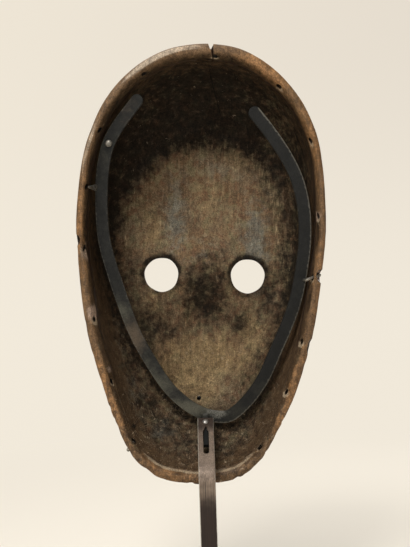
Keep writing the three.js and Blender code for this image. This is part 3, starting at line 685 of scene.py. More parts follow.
@dataclass(frozen=True)
class CarvedWood:
    """Old dark wood: dry and scratched in the hollow, rubbed pale at the rim with a painted highlight along
    its crest, polished in front.
    """

    floor: Color = paint(118, 101, 79)
    floor_grey: Color = paint(112, 110, 100)
    floor_warm: Color = paint(132, 104, 76)
    floor_red: Color = paint(112, 78, 58)
    floor_olive: Color = paint(104, 100, 74)
    scraped: Color = paint(158, 134, 96)
    fibre: Color = paint(172, 150, 116)
    soot_and_shade: Color = paint(14, 12, 9)
    soot_red: Color = paint(40, 30, 21)
    shoulder: Color = paint(84, 65, 46)
    rim: Color = paint(130, 102, 73)
    rim_warm: Color = paint(170, 127, 84)
    rim_pale_highlight: Color = paint(196, 177, 154)
    rim_dark: Color = paint(62, 46, 33)
    raw_wood_and_highlight: Color = paint(188, 168, 140)
    scar: Color = paint(176, 152, 134)
    front: Color = paint(50, 35, 26)
    front_dark: Color = paint(30, 22, 17)
    front_dusty: Color = paint(84, 68, 54)
    front_worn: Color = paint(104, 68, 44)
    # The scratches' angles in radians and the gaps between them, and their length as a share of the gap
    scratch_sets: Places = ((0.7, 1.5), (-0.55, 1.2), (1.3, 1.7), (0.15, 0.9))
    scratch_length: float = 12.0

    def round_rim(self, w: Finish, place: Socket, hub: tuple[float, float]) -> Socket:
        """Gives a vector whose first axis is the inset from the rim and whose others run round it."""
        start = (-hub[0], 0, -hub[1])
        level = w.node("Mapping", None, Vector=place, Location=start, Scale=(1, 0, 1)).outputs[0]
        turn = w.node("VectorMath", {"operation": "NORMALIZE"}, Vector=level).outputs[0]
        split = w.node("SeparateXYZ", None, Vector=turn).outputs
        inset = w.math("MULTIPLY", w.stored("inset"), INSET_RANGE)
        around = [w.math("MULTIPLY", split[0], 4.8), w.math("MULTIPLY", split[2], 70.0)]
        return w.node("CombineXYZ", None, X=inset, Y=around[0], Z=around[1]).outputs[0]

    def grain(self, w: Finish, place: Socket, hub: tuple[float, float]) -> Grain:
        """Lays out the shared noises once."""
        small, grit = w.mottle(place, 3.6, 1.2)
        return Grain(
            place=place,
            fine=w.streaks(place, 0.9, 9.0),
            broad=w.streaks(place, 6.0, 42.0),
            long=w.streaks(place, 2.4, 34.0),
            large=w.mottle(place, 15.0, 1.4)[0],
            medium=w.mottle(place, 7.0, 1.5)[0],
            small=small,
            tiny=w.mottle(place, 1.1, 1.4)[0],
            grit=grit,
            round_rim=w.streaks(self.round_rim(w, place, hub), 0.55, 8.0),
        )

    def hollow(self, w: Finish, grain: Grain, fibres: Socket) -> Socket:
        """Gives the hollow's colour: blotched floor, grey and scraped places, fibres, soot with the strip's
        painted shadow, shoulder.
        """
        place, small = grain.place, grain.small
        color = w.over(self.floor, self.floor_warm, grain.large, 0.6)
        color = w.over(color, self.floor_red, w.eased(small, 0.4, 1.0), 0.6)
        color = w.over(color, self.floor_olive, w.eased(grain.medium, 0.4, 1.0), 0.55)
        color = w.over(color, self.floor_grey, w.worn(place, "bloom", 5.0, 2.0, 0.4), 0.85)
        color = w.over(color, self.scraped, w.worn(place, "ochre", 5.0, 1.8, 0.4), 0.7)
        color = w.over(color, self.fibre, fibres, 0.8)
        soot_and_shade = w.math("MULTIPLY", w.worn(place, "soot_and_shade", 4.2, 1.7, 0.5), w.ranged(grain.tiny, 0.9, 1.0))
        color = w.laid(soot_and_shade, color, w.over(self.soot_and_shade, self.soot_red, small, 0.4))
        return w.over(color, self.shoulder, w.worn(place, "shoulder", 3.6, 2.0, 0.42), 0.8)

    def rim_paint(self, w: Finish, grain: Grain) -> Socket:
        """Gives the rubbed rim's colour: golden places, dark flecks, and pale lines that run round, partly
        wear and partly a painted highlight along the crest.
        """
        color = w.laid(w.worn(grain.place, "golden", 4.0, 1.4, 0.4), self.rim, self.rim_warm)
        color = w.over(color, self.rim_dark, grain.small, w.ranged(w.stored("rough"), 0.45, 0.95))
        pale = w.eased(w.math("MULTIPLY_ADD", grain.round_rim, 0.9, w.stored("pale")), 0.7, 1.25)
        return w.over(color, self.rim_pale_highlight, pale, 0.85)

    def front_paint(self, w: Finish, grain: Grain) -> Socket:
        """Gives the face's colour: dark blotches, a little dust, and brown where hands rub it."""
        color = w.over(self.front, self.front_dark, grain.medium, 0.7)
        color = w.over(color, self.front_dusty, w.eased(grain.small, 0.45, 1.0), 0.3)
        return w.laid(w.worn(grain.place, "polish", 3.0, 0.6, 0.5), color, self.front_worn)

    def scratches(self, w: Finish, place: Socket) -> Socket:
        """Gives thin scratches that cross in four directions."""
        scored: Value = 0.0
        for angle, gap in self.scratch_sets:
            knobs = {"Angle": angle, "Spacing": gap, "Length": self.scratch_length * gap}
            line = w.grouped(SCRATCHES.tree(), Vector=place, Amount=w.stored("scored"), **knobs)["Mask"]
            scored = w.math("MAXIMUM", scored, line)
        return scored

    def crown_crack(self, w: Finish, place: Socket) -> Socket:
        """Gives the hair line that runs on from the crack in the crown."""
        line = {"Start": -11.0, "Lean": 0.32, "Low": 94.0, "High": 122.0, "Width": 0.7, "Wander": 1.2}
        return w.grouped(HAIR_LINE.tree(), Vector=place, **line)["Mask"]

    def tone(self, w: Finish, grain: Grain) -> Socket:
        """Gives the lightness that all the noises make together."""
        tone = w.ranged(grain.fine, 0.4, 1.6)
        tone = w.math("MULTIPLY", tone, w.ranged(grain.grit, -0.1, 2.1))
        tone = w.math("MULTIPLY", tone, w.ranged(grain.long, 0.4, 1.6))
        tone = w.math("MULTIPLY", tone, w.ranged(grain.tiny, 0.76, 1.2))
        tone = w.math("MULTIPLY", tone, w.ranged(grain.medium, 0.8, 1.16))
        return tone

    def material(self, placement: Placement, hub: tuple[float, float]) -> bpy.types.Material:
        """Builds the finish: the hollow, then the rim, the face, lips of holes, scars and scratches."""
        material, w, surface = new_material("carved_wood")
        place = placement.coordinates(w)
        grain = self.grain(w, place, hub)
        fibres = w.math("MULTIPLY", w.stored("fibres"), w.eased(grain.fine, 0.44, 0.62))
        rubbed = w.worn(place, "rim", 2.4, 0.9, 0.4)
        scored, crack = self.scratches(w, place), self.crown_crack(w, place)

        color = self.hollow(w, grain, fibres)
        color = w.over(color, self.rim_paint(w, grain), rubbed, w.ranged(grain.round_rim, 0.72, 1.0))
        color = w.laid(w.stored("front"), color, self.front_paint(w, grain))
        # Pale raw wood at the lacing holes' lips and the chin's crest, with a painted highlight on the lips'
        # lower sides and along the crest
        color = w.over(color, self.raw_wood_and_highlight, w.worn(place, "raw_wood_and_highlight", 1.6, 1.2, 0.3), 0.7)
        color = w.over(color, self.scar, w.worn(place, "scar", 1.8, 0.7, 0.3), 0.8)
        # Painted shade with soot: dark inside holes, on faces cut through the wood and in pits
        color = w.laid(w.stored("deep"), color, self.soot_and_shade)
        color = w.over(color, self.raw_wood_and_highlight, scored, 0.42)
        color = w.laid(crack, color, self.soot_and_shade)
        w.feed(surface.inputs["Base Color"], w.toned(color, self.tone(w, grain)))

        shine = w.ranged(grain.large, 0.66, 0.82)
        shine = w.math("MULTIPLY_ADD", rubbed, -0.2, shine)
        shine = w.math("MULTIPLY_ADD", w.stored("front"), -0.25, shine)
        w.feed(surface.inputs["Roughness"], w.math("MULTIPLY_ADD", grain.fine, 0.1, shine))
        surface.inputs["Specular IOR Level"].default_value = 0.12
        surface.inputs["Coat Roughness"].default_value = 0.42
        gloss = w.math("MULTIPLY_ADD", w.stored("front"), 0.35, w.math("MULTIPLY", rubbed, 0.22))
        w.feed(surface.inputs["Coat Weight"], gloss)

        height = w.math("MULTIPLY_ADD", grain.fine, 0.45, w.math("MULTIPLY", grain.grit, 0.6))
        for part, rise in ((grain.broad, 0.8), (scored, -0.3), (crack, -0.8), (fibres, 0.8)):
            height = w.math("MULTIPLY_ADD", part, rise, height)
        w.relief(surface, 0.7, 0.6, height)
        return material


@dataclass
class Mask:
    """The carved mask: one shell from the middle of the face over the rim to the hollow's floor."""

    half_width: float = 74.3
    half_height: float = 130.0
    face_depth: float = 61.0
    floor_depth: float = 51.5
    rim_widths: tuple[float, float, float] = (7.4, 8.5, 7.8)
    rim_rounding: float = 2.6
    rim_shoulder: float = 6.5
    hub: tuple[float, float] = (-2.08, -32.5)
    eye_radius: float = 10.8
    eyes: tuple[tuple[float, float], ...] = ((-29.48, -6.5), (25.32, -6.5))
    mouth_hole: tuple[float, float, float] = (0.2, -83.5, 1.4)
    spokes: int = 432
    lace_depth: float = 6.5
    lace_slant_deg: float = 24.0
    lace_radius: float = 1.4
    placement: Placement = field(default_factory=Placement)
    outer_wall: Wall = Wall(side=(27, 2.3, 2.8), crown=(52, 2.1, 2.3), chin=(34, 2.1, 2.1))
    inner_wall: Wall = Wall(side=(22, 2.2, 3.0), crown=(38, 2.0, 2.6), chin=(54, 1.5, 1.3))
    face_forms: tuple[Swell, ...] = (
        Swell(13, 0, 0.62, 0.48, 0.33),
        Swell(-8, 0, 0.85, -0.05, 0.13),
        Swell(4, 0.48, 0.2, -0.32, 0.14),
        Swell(4, -0.48, 0.2, -0.32, 0.14),
        Swell(11, 0, 0.36, -0.62, 0.15),
        Swell(-11, 0, 2, -1, 0.28),
        Swell(5, 0, 0.26, -0.9, 0.08),
    )
    floor_forms: tuple[Swell, ...] = (
        Swell(9.5, 0, 0.6, 0.45, 0.34),
        Swell(-5.5, 0, 0.7, -0.05, 0.14),
        Swell(6, 0, 0.16, -0.22, 0.15),
        Swell(4, 0, 0.3, -0.52, 0.16),
        Swell(-7, 0, 2, -0.8, 0.22),
    )
    # The rim's outer edge from the crown down the +X side, round the chin and up the -X side
    outline: tuple[tuple[float, float], ...] = (
        (0, 1), (0.3, 0.972), (0.564, 0.884), (0.765, 0.756), (0.891, 0.607), (0.96, 0.458),
        (0.998, 0.207), (0.976, 0), (0.905, -0.293), (0.781, -0.533), (0.688, -0.681), (0.544, -0.852),
        (0.42, -0.928), (0.27, -0.974), (0, -0.995), (-0.27, -0.974), (-0.42, -0.926), (-0.54, -0.848),
        (-0.689, -0.682), (-0.788, -0.537), (-0.9, -0.297), (-0.964, 0), (-0.984, 0.204), (-0.95, 0.457),
        (-0.892, 0.607), (-0.766, 0.757), (-0.564, 0.885), (-0.3, 0.975),
    )
    # Lacing holes round the rim: angle from the +X side towards the crown, how wide each is worn
    # and how pale its lip is
    lace_holes: tuple[tuple[float, float, float], ...] = (
        (8, 1.7, 0.9), (34.2, 0.9, 0.1), (52.6, 1.0, 0.15), (72.3, 1.0, 0.2), (92.5, 0.9, 0.8),
        (112, 1.3, 0.6), (130, 1.2, 0.7), (155, 1.0, 0.6), (183.2, 1.0, 0.5), (214.5, 1.5, 0.9),
        (234, 1.3, 1.0), (251, 1.0, 0.5), (290.5, 1.1, 0.3), (307.6, 0.9, 0.7), (334.3, 1.4, 0.9),
    )
    # Worn bites out of the rim's outer edge: angle, depth and half length
    bites: tuple[tuple[float, float, float], ...] = (
        (9, 1.9, 5), (331, 1.5, 6), (184.6, 3.4, 4.4), (216, 2.4, 6.5), (266, 0.9, 2.4), (348, 0.6, 3),
        (204, 0.7, 4),
    )
    ochre: tuple[Patch, ...] = (
        Patch(-3, -58, 27, 15, 0.9), Patch(-33, -42, 9, 17, 0.5), Patch(30, -26, 8, 14, 0.4),
        Patch(32, 20, 8, 18, 0.6), Patch(-22, 67, 11, 8, 0.6), Patch(13, -70, 14, 10, 0.6),
        Patch(0, -79, 16, 9, 0.8), Patch(-6, 38, 20, 22, 0.35),
    )
    bloom: tuple[Patch, ...] = (
        Patch(17, 30, 8, 24, 0.8), Patch(-34, 14, 9, 30, 0.8), Patch(-14, 62, 16, 9, 0.5),
        Patch(8, -86, 12, 7, 0.5), Patch(22, -101, 8, 7, 0.7), Patch(-12, -76, 14, 8, 0.4),
        Patch(0, 8, 9, 12, 0.4), Patch(54, -48, 9, 22, 0.4), Patch(42, -80, 10, 14, 0.5),
        Patch(-46, -78, 10, 18, 0.35),
    )
    sooty: tuple[Patch, ...] = (
        Patch(-2, -12, 17, 15, 0.8), Patch(-4, -27, 14, 13, 0.85), Patch(-24, -37, 9, 10, 0.65),
        Patch(23, -40, 12, 12, 0.6), Patch(-8, 2, 12, 8, 0.4), Patch(42, -40, 9, 18, 0.6),
        Patch(30, -89, 9, 8, 0.9), Patch(-40, -62, 8, 14, 0.6), Patch(-44, -14, 6, 14, 0.5),
        Patch(46, -4, 8, 20, 0.5), Patch(6, 79, 46, 9, 0.6), Patch(36, 62, 12, 12, 0.3),
        Patch(36, 34, 11, 18, 0.3), Patch(-42, 52, 10, 22, 0.5), Patch(20, -108, 36, 13, 0.8),
        Patch(-26, -108, 26, 13, 0.7), Patch(38, -84, 12, 14, 0.35), Patch(-57, 38, 9, 34, 0.95),
        Patch(-54, -2, 7, 16, 0.7), Patch(31, -36, 13, 20, 0.5), Patch(-41, -30, 10, 22, 0.45),
    )

    golden: tuple[Patch, ...] = (
        Patch(-34, 112, 26, 16, 0.9), Patch(-62, 72, 14, 26, 0.7), Patch(-72, -10, 8, 46, 0.45),
        Patch(72, 20, 9, 40, 0.6), Patch(58, -84, 22, 36, 0.95), Patch(-54, -80, 20, 34, 0.75),
        Patch(20, -124, 30, 11, 0.7),
    )
    rubbed: tuple[Patch, ...] = (
        Patch(-46, 84, 13, 22, 0.4), Patch(-24, 104, 16, 9, 0.25), Patch(36, 100, 20, 14, 0.25),
        Patch(-58, 50, 8, 20, 0.35), Patch(0, -80, 16, 9, 0.5),
    )
    # Pale scars on the rim's inner shoulder, and the small pits beside them, which are not cut but painted
    # dark as painted shade: x, z and radius
    scars: tuple[Patch, ...] = (
        Patch(66.4, 6.6, 4.4, 5.8, 1.0), Patch(62.6, -29.4, 4.4, 5.0, 1.0),
        Patch(-66.8, 29.8, 3.2, 3.0, 1.0), Patch(51.5, -62.5, 3.2, 2.4, 0.8),
        Patch(47, -70, 2.6, 2.2, 0.7),
    )
    pits: tuple[tuple[float, float, float], ...] = ((68.2, 8.7, 1.0), (69.0, 10.4, 0.7), (38.5, -97, 1.3))
    # Lines where the floor's edge has splintered into pale fibres: points (x, z) and the reach
    splinters: tuple[tuple[tuple[tuple[float, float], ...], float], ...] = (
        (((-30, 72), (-36, 64), (-44, 48), (-48, 29), (-51, 10), (-53, -10)), 2.8),
        (((48.6, 26), (48.0, 6), (47.2, -8)), 0.7),
        (((20, 77), (4, 79), (-14, 76)), 2.0),
    )

    # Where the strip's lower arms cast their shadow on the hollow, painted as a dark line: points (x, z)
    strip_shadow_line: tuple[tuple[float, float], ...] = (
        (60.4, -6), (46.4, -44), (35.4, -63), (22.8, -80.4), (11.8, -89.8), (1.4, -95.8), (-8, -98.2),
        (-20.2, -97.6), (-32.4, -87.8), (-43.2, -72.4), (-51.2, -54.2), (-58.6, -35.4), (-62.8, -21),
        (-65.4, -3),
    )

    def rim_width(self, level: Array) -> Array:
        """Gives the width of the rim's rounded edge at heights of the rim."""
        return along_rim(level, *self.rim_widths)

    def rim_loop(self) -> Array:
        """Gives the rim's outer edge as evenly spaced points of shape (spokes, 2)."""
        knots = np.array(self.outline) * [self.half_width, self.half_height]
        return evenly(catmull_rom(knots, closed=True, power=0.0), self.spokes, closed=True)

    def features(self, x: Array, z: Array) -> Array:
        """How far the carved details stand out of the face: sums of bells and ridges.

        Each eye has a ring that is a bell across its radius. The nose is a ridge that rises and
        widens downwards, cut off below, with a wing on each side. The lips are two ridges along an
        oval with a slit between them. The forehead has one fine ridge on its axis.
        """
        across = x - self.hub[0]
        rings = sum(2.4 * bump(np.hypot(x - ex, z - ez) - 13.0, 2.1) for ex, ez in self.eyes)
        fall = np.clip((14 - z) / 59, 0, 1)
        ridge = 15.5 * fall**1.15 * between(z, -51.5, -44.5)
        nose = ridge * np.exp(-np.abs(across / (3.4 + 3.6 * fall)) ** 2.2) * between(-z, -16, -8)
        wings = 5.5 * bump(np.abs(across) - 8.6, 3.6) * bump(z + 45, 4.6)
        oval = np.clip(1 - (across / 22) ** 2, 0, 1) ** 0.6
        height = z + 83.9
        lips = 8.6 * oval * np.maximum(bump(height - 4.6 * oval, 3.3), bump(height + 4.8 * oval, 3.6))
        slit = -3.5 * np.clip(1 - (across / 18) ** 2, 0, 1) ** 0.5 * bump(height, 1.8)
        rib = 1.5 * bump(across, 1.5) * between(z, 20, 30) * between(-z, -110, -98)
        return rings + np.maximum(nose, wings) + lips + slit + rib

    def outer_depth(self, inset: Array, level: Array, x: Array, z: Array) -> Array:
        """Gives the depth of the face's skin at an inset from the rim's outer edge."""
        across = inset / self.outer_wall.at(level)[0]
        u, v = (x - self.hub[0]) / self.half_width, z / self.half_height
        relief = sum(form.height(u, v) for form in self.face_forms) + self.features(x, z)
        fall = (self.face_depth - self.rim_rounding) * self.outer_wall.share(across, level)
        return self.rim_rounding + fall + relief * smooth(across / 0.9)

    def inner_depth(self, inset: Array, level: Array, x: Array, z: Array) -> Array:
        """Gives the depth of the hollow's skin at an inset from the rim's outer edge."""
        across = (inset - self.rim_width(level)) / self.inner_wall.at(level)[0]
        u, v = (x - self.hub[0]) / self.half_width, z / self.half_height
        relief = sum(form.height(u, v) for form in self.floor_forms)
        fall = (self.floor_depth - self.rim_rounding) * self.inner_wall.share(across, level)
        return self.rim_rounding + fall + relief * smooth(across / 0.9)

    def skin(self) -> tuple[Array, Array, Array]:
        """Works out the shell's rings from the middle of the face over the rim to the floor.

        Each spoke runs from a point of the rim's outer edge to the hub. The insets along it are
        spread evenly on the face and floor, and by 1 - cos(s)^0.9 on the walls. Round the rim the
        inset is half the rim's width times 1 - cos(t), and the depth the rounding times
        1 - sin(t)^0.8 on its outer half and the shoulder's depth times 1 - sin(t)^1.2 inwards.

        Returns:
            x, depth and z in millimetres, each of shape (rings, spokes).
        """
        rim = self.rim_loop()
        level = rim[:, 1] / self.half_height
        length = np.hypot(*(rim - self.hub).T)
        outer, inner = self.outer_wall.at(level)[0], self.inner_wall.at(level)[0]
        edge = self.rim_width(level)

        def spread(start: float, stop: float, count: int) -> Array:
            return np.linspace(start, stop, count)[:, None]

        def wall(share: Array) -> Array:
            return 1 - np.cos(share * np.pi / 2) ** 0.9

        face = outer + (length - outer) * spread(0.992, 0.015, 58)
        side = outer * wall(spread(1, 0, 25))
        turn = np.pi * spread(0, 1, 21)[1:-1]
        rounded = edge * (1 - np.cos(turn)) / 2
        hollow = edge + inner * wall(spread(0, 1, 41))
        floor = edge + inner + (length - edge - inner) * spread(0.015, 0.992, 56)
        inset = np.vstack([face, side, rounded, hollow, floor])
        share = inset / length
        x = rim[:, 0] + (self.hub[0] - rim[:, 0]) * share
        z = rim[:, 1] + (self.hub[1] - rim[:, 1]) * share
        over, below = len(face) + len(side), len(face) + len(side) + len(rounded)
        outward = self.rim_rounding * (1 - np.sin(turn) ** 0.8)
        inward = self.rim_shoulder * (1 - np.sin(turn) ** 1.2)
        rolled = np.where(turn < np.pi / 2, outward, inward)
        depth = np.vstack([
            self.outer_depth(inset[:over], level, x[:over], z[:over]),
            np.broadcast_to(rolled, rounded.shape),
            np.maximum(self.inner_depth(inset[below:], level, x[below:], z[below:]), self.rim_shoulder),
        ])
        return x, depth, z

    def worn_skin(self) -> Array:
        """Wears the shell's points down along their normals, never outwards.

        Noise leaves tool marks and rubbed hollows, with coarser dents low on the rim, and bells
        sink a crater round each lacing hole and a soft edge round each eye hole.

        Returns:
            Points in the mask's frame as (x, -depth, z), of shape (rings, spokes, 3).
        """
        x, depth, z = self.skin()
        points = np.stack([x, -depth, z], axis=-1)
        around = np.roll(points, -1, axis=1) - np.roll(points, 1, axis=1)
        normal = np.cross(around, np.gradient(points, axis=0))
        normal /= np.maximum(np.linalg.norm(normal, axis=-1, keepdims=True), 1e-9)
        normal *= -np.sign(normal[0, :, 1].mean())
        low = between(-z, 30, 110) * between(-depth, -16, -4)
        wear = 0.28 * (1 + noise(points, 13, 3)) / 2 + 0.16 * (1 + noise(points, 4.2, 5)) / 2
        dents = 0.75 * between(noise(points, 3.4, 9), 0.05, 0.6) + 0.4 * between(noise(points, 7, 12), 0, 0.7)
        wear += low * dents
        for angle, size, _ in self.lace_holes:
            mouth = np.array(self.lace_line(angle)(self.rim_width_at(angle)))
            away = np.linalg.norm(points - mouth, axis=-1)
            wear += 1.1 * size * bump(away, 2.7 * size)
        for ex, ez in self.eyes:
            wear += 0.5 * bump(np.hypot(x - ex, z - ez) - self.eye_radius, 1.0) * (depth > 20)
        return points - normal * wear[..., None]

    def rim_at(self, angle_deg: float) -> Array:
        """Gives the point of the rim's outer edge at an angle round the mask's middle."""
        rim = self.rim_loop()
        away = np.angle(np.exp(1j * (np.arctan2(rim[:, 1], rim[:, 0]) - math.radians(angle_deg))))
        return rim[np.argmin(np.abs(away))]

    def rim_width_at(self, angle_deg: float) -> float:
        """Gives the rim's width at an angle round the mask's middle."""
        return float(self.rim_width(self.rim_at(angle_deg)[1] / self.half_height))

    def lace_line(self, angle_deg: float) -> Callable[[float], tuple[float, float, float]]:
        """Gives the lacing hole's centre line as a function of the inset: it slants back inwards."""
        rim = self.rim_at(angle_deg)
        length = float(np.hypot(*(rim - self.hub)))
        slope = math.tan(math.radians(self.lace_slant_deg))

        def at(inset: float) -> tuple[float, float, float]:
            x, z = rim + (np.array(self.hub) - rim) * inset / length
            return float(x), -(self.lace_depth - inset * slope), float(z)

        return at

    def in_stand(self, points: Array) -> Array:
        """Turns points (x, -depth, z) of the mask's frame into the stand's frame in metres."""
        return self.placement.to_stand(points[..., 0], -points[..., 1], points[..., 2])

    def rod_cutter(
        self, name: str, start: Sequence[float], end: Sequence[float], profile: Profile, around: int
    ) -> bpy.types.Object:
        """Makes a turned cutter between two places of the mask's frame."""
        rings = turned_rings(np.array(start, float), np.array(end, float), profile, around)
        return ringed_piece(name, self.in_stand(rings))

    def eye_cutter(self, number: int, x: float, z: float) -> bpy.types.Object:
        """Makes an eye hole's cutter: a cylinder whose radius waves a little, as a knife leaves it."""
        turn = np.linspace(0, 2 * np.pi, 96, endpoint=False)
        radius = self.eye_radius + 0.14 * np.sin(3 * turn + number) + 0.08 * np.sin(7 * turn)
        across, up = x + radius * np.cos(turn), z + radius * np.sin(turn)
        rings = np.stack([np.stack([across, np.full(96, y), up], -1) for y in (-20.0, -90.0)])
        return ringed_piece(f"eye_cutter_{number}", self.in_stand(rings))

    def lace_cutter(self, number: int, angle: float, size: float) -> bpy.types.Object:
        """Makes a lacing hole's cutter: a rod that flares where the hole comes out, as it is worn."""
        line = self.lace_line(angle)
        start, end = line(-4), line(self.rim_width_at(angle) + 5)
        length = float(np.linalg.norm(np.array(end) - start))
        bore, mouth = self.lace_radius, 2.3 + 0.6 * size
        steps = ((7.6, bore), (6.0, bore + 0.25), (4.4, bore + 0.5 + 0.35 * size))
        flare = [(0, bore), *((1 - back / length, radius) for back, radius in steps), (1, mouth)]
        return self.rod_cutter(f"lace_cutter_{number}", start, end, flare, 26)

    def cutters(self) -> list[bpy.types.Object]:
        """Makes the solids that are cut out of the shell."""
        x, z, radius = self.mouth_hole
        made = [self.eye_cutter(k, *eye) for k, eye in enumerate(self.eyes)]
        made.append(self.rod_cutter("mouth_cutter", (x, -20, z), (x, -95, z), [(0, radius), (1, radius)], 20))
        made += [self.lace_cutter(k, angle, size) for k, (angle, size, _) in enumerate(self.lace_holes)]
        made += [self.bite(f"bite_cutter_{k}", *bite) for k, bite in enumerate(self.bites)]
        return made

    def bite(self, name: str, angle_deg: float, depth: float, half: float) -> bpy.types.Object:
        """Makes a ball, stretched along the rim and dented by noise, that bites into the outer edge."""
        rim = self.rim_at(angle_deg)
        inward = (np.array(self.hub) - rim) / np.hypot(*(rim - self.hub))
        bulge = 0.8 * half
        centre = rim + inward * (depth - bulge)
        rise = np.linspace(-np.pi / 2, np.pi / 2, 22)[1:-1, None]
        turn = np.linspace(0, 2 * np.pi, 30, endpoint=False)[None, :]
        across, through = np.cos(rise) * np.cos(turn), np.cos(rise) * np.sin(turn)
        along = np.broadcast_to(np.sin(rise), across.shape)
        ball = np.stack([across, through, along], axis=-1)
        ball *= (1 + 0.1 * noise(ball * half, 0.45 * half, 17))[..., None]
        x = centre[0] + bulge * ball[..., 0] * inward[0] - half * ball[..., 2] * inward[1]
        z = centre[1] + bulge * ball[..., 0] * inward[1] + half * ball[..., 2] * inward[0]
        points = np.stack([x, (3 * depth + 2) * ball[..., 1], z], axis=-1)
        return ringed_piece(name, self.in_stand(points))

    def crack(self) -> bpy.types.Object:
        """Makes the crown's crack: an open notch that narrows to a wandering slit in the rim."""
        height = np.array([132.5, 130.0, 127.6, 125.6, 123.8, 121.6, 119.0, 116.0, 112.6])
        middle = np.array([-3.2, -3.4, -3.7, -4.3, -4.5, -4.9, -5.1, -5.4, -5.6])
        half = np.array([2.1, 1.65, 1.15, 0.8, 0.55, 0.42, 0.34, 0.26, 0.12])
        left, right = middle - half, middle + half
        loop = np.concatenate([np.stack([left, height], -1), np.stack([right, height], -1)[::-1]])
        centre = np.concatenate([middle, middle[::-1]])
        closing = ((6.0, 1.15), (-1.5, 1.0), (-6.0, 0.8), (-10.0, 0.45), (-14.0, 0.1))
        rings = np.stack([
            np.stack([centre + (loop[:, 0] - centre) * share, np.full(len(loop), y), loop[:, 1]], -1)
            for y, share in closing
        ])
        vertices = self.in_stand(rings).reshape(-1, 3)
        count, last = len(loop), (len(closing) - 1) * len(loop)
        caps = [list(range(count)), list(range(last, last + count))[::-1]]
        faces = [*ring_faces(len(closing), count).tolist(), *caps]
        return mesh_piece("crack_cutter", vertices, faces)

    def sites(self, piece: bpy.types.Object) -> Sites:
        """Works out where a piece's vertices lie, from their angles and distances round the hub."""
        x, depth, z = self.placement.to_mask(vertices_of(piece))
        hub_x, hub_z = self.hub
        rim = self.rim_loop()
        turn = np.arctan2(rim[:, 1] - hub_z, rim[:, 0] - hub_x)
        order = np.argsort(turn)
        angle = np.arctan2(z - hub_z, x - hub_x)
        rim_x, rim_z = (np.interp(angle, turn[order], rim[order, k], period=2 * np.pi) for k in (0, 1))
        inset = np.hypot(rim_x - hub_x, rim_z - hub_z) - np.hypot(x - hub_x, z - hub_z)
        level = rim_z / self.half_height
        edge = self.rim_width(level)
        inner = self.inner_depth(np.maximum(inset, edge), level, x, z)
        outer = self.outer_depth(np.maximum(inset, 0), level, x, z)
        outside = (inset < edge / 2) | (depth > self.rim_shoulder + 1.5)
        within = (depth - inner) / np.maximum(outer - inner, 1)
        through = np.where(inset > edge, within, np.where(outside, depth / 9, 0))
        across = (inset - edge) / self.inner_wall.at(level)[0]
        front = between(through, 0.6, 0.9)
        return Sites(x, depth, z, angle, inset, level, edge, through, across, front)

    def worn_width(self, at: Sites) -> Array:
        """Gives how wide the rim is rubbed: more at the chin's middle and high on the -X side."""
        width = along_rim(at.level, 6.0, 6.8, 4.6) + 2.2 * between(-at.level, 0.8, 0.95)
        return width + 1.0 * between(-at.x, 10, 50) * between(at.level, 0.3, 0.7)

    def rim_wear(self, at: Sites) -> Array:
        """Gives how far the rim is rubbed, with a streaky border, and less down its outer side."""
        fade = along_rim(at.level, 1.2, 4.0, 1.3)
        streak = noise(np.stack([at.angle * 60, at.depth, at.inset], -1), 5, 21)
        wear = 1 - smooth((at.inset + 0.9 * streak - self.worn_width(at) + fade) / (2 * fade))
        wear *= 1 - between(at.depth, 1.9, 4.0) * (at.inset < 3) * 0.9
        return wear * (1 - 0.75 * between(at.depth, 6.5, 16)) * (at.front <= 0.5)

    def shoulder(self, at: Sites) -> Array:
        """Gives where the rim's inner shoulder shows brown: wider and stronger low down."""
        low = between(-at.level, -0.15, 0.2)
        worn = self.worn_width(at)
        strip = between(at.inset, worn - 1, worn + 1)
        strip *= 1 - between(at.inset, at.edge, at.edge + 5 + 6 * low)
        return strip * (0.66 + 0.3 * low - 0.2 * between(at.level, 0.3, 0.8)) * (1 - at.front)

    def soot_and_shade(self, at: Sites) -> Array:
        """Gives how sooty the hollow is: walls, rings round the eyes and patches, with the strip's shadow
        painted in as a dark line.

        On the walls the soot fades evenly between two shares of the wall's width. Both are larger at
        the crown and smaller on the -X side.
        """
        crown, minus_side = between(at.level, 0.2, 0.85), between(-at.x, -10, 30)
        begin = 0.4 - 0.08 * minus_side + 0.6 * crown
        finish = 1.32 - 0.42 * minus_side * (1 - crown) + 0.16 * crown
        walls = np.clip((finish - at.across) / (finish - begin), 0, 1)
        walls *= 0.64 + 0.46 * between(at.level, -0.45, 0.1)
        eye_gap = np.min([np.hypot(at.x - x, at.z - z) for x, z in self.eyes], axis=0) - self.eye_radius
        rings = (1 - between(eye_gap, 0.6, 5.5)) * (0.6 + 0.4 * between(at.z, -14, 4))
        places = patched(self.sooty, at.x, at.z) * (at.across > 0.3)
        soot_and_shade = np.maximum(np.maximum(walls, rings), places) * (1 - patched(self.rubbed, at.x, at.z))
        # Painted shadow: a dark line on the hollow just outside the strip's lower arms, where their shadow
        # falls
        painted_strip_shadow = 0.95 * bump(far_from(self.strip_shadow_line, at.x, at.z), 2.9) * (at.front < 0.5)
        return np.maximum(soot_and_shade * (at.front <= 0.5), painted_strip_shadow)

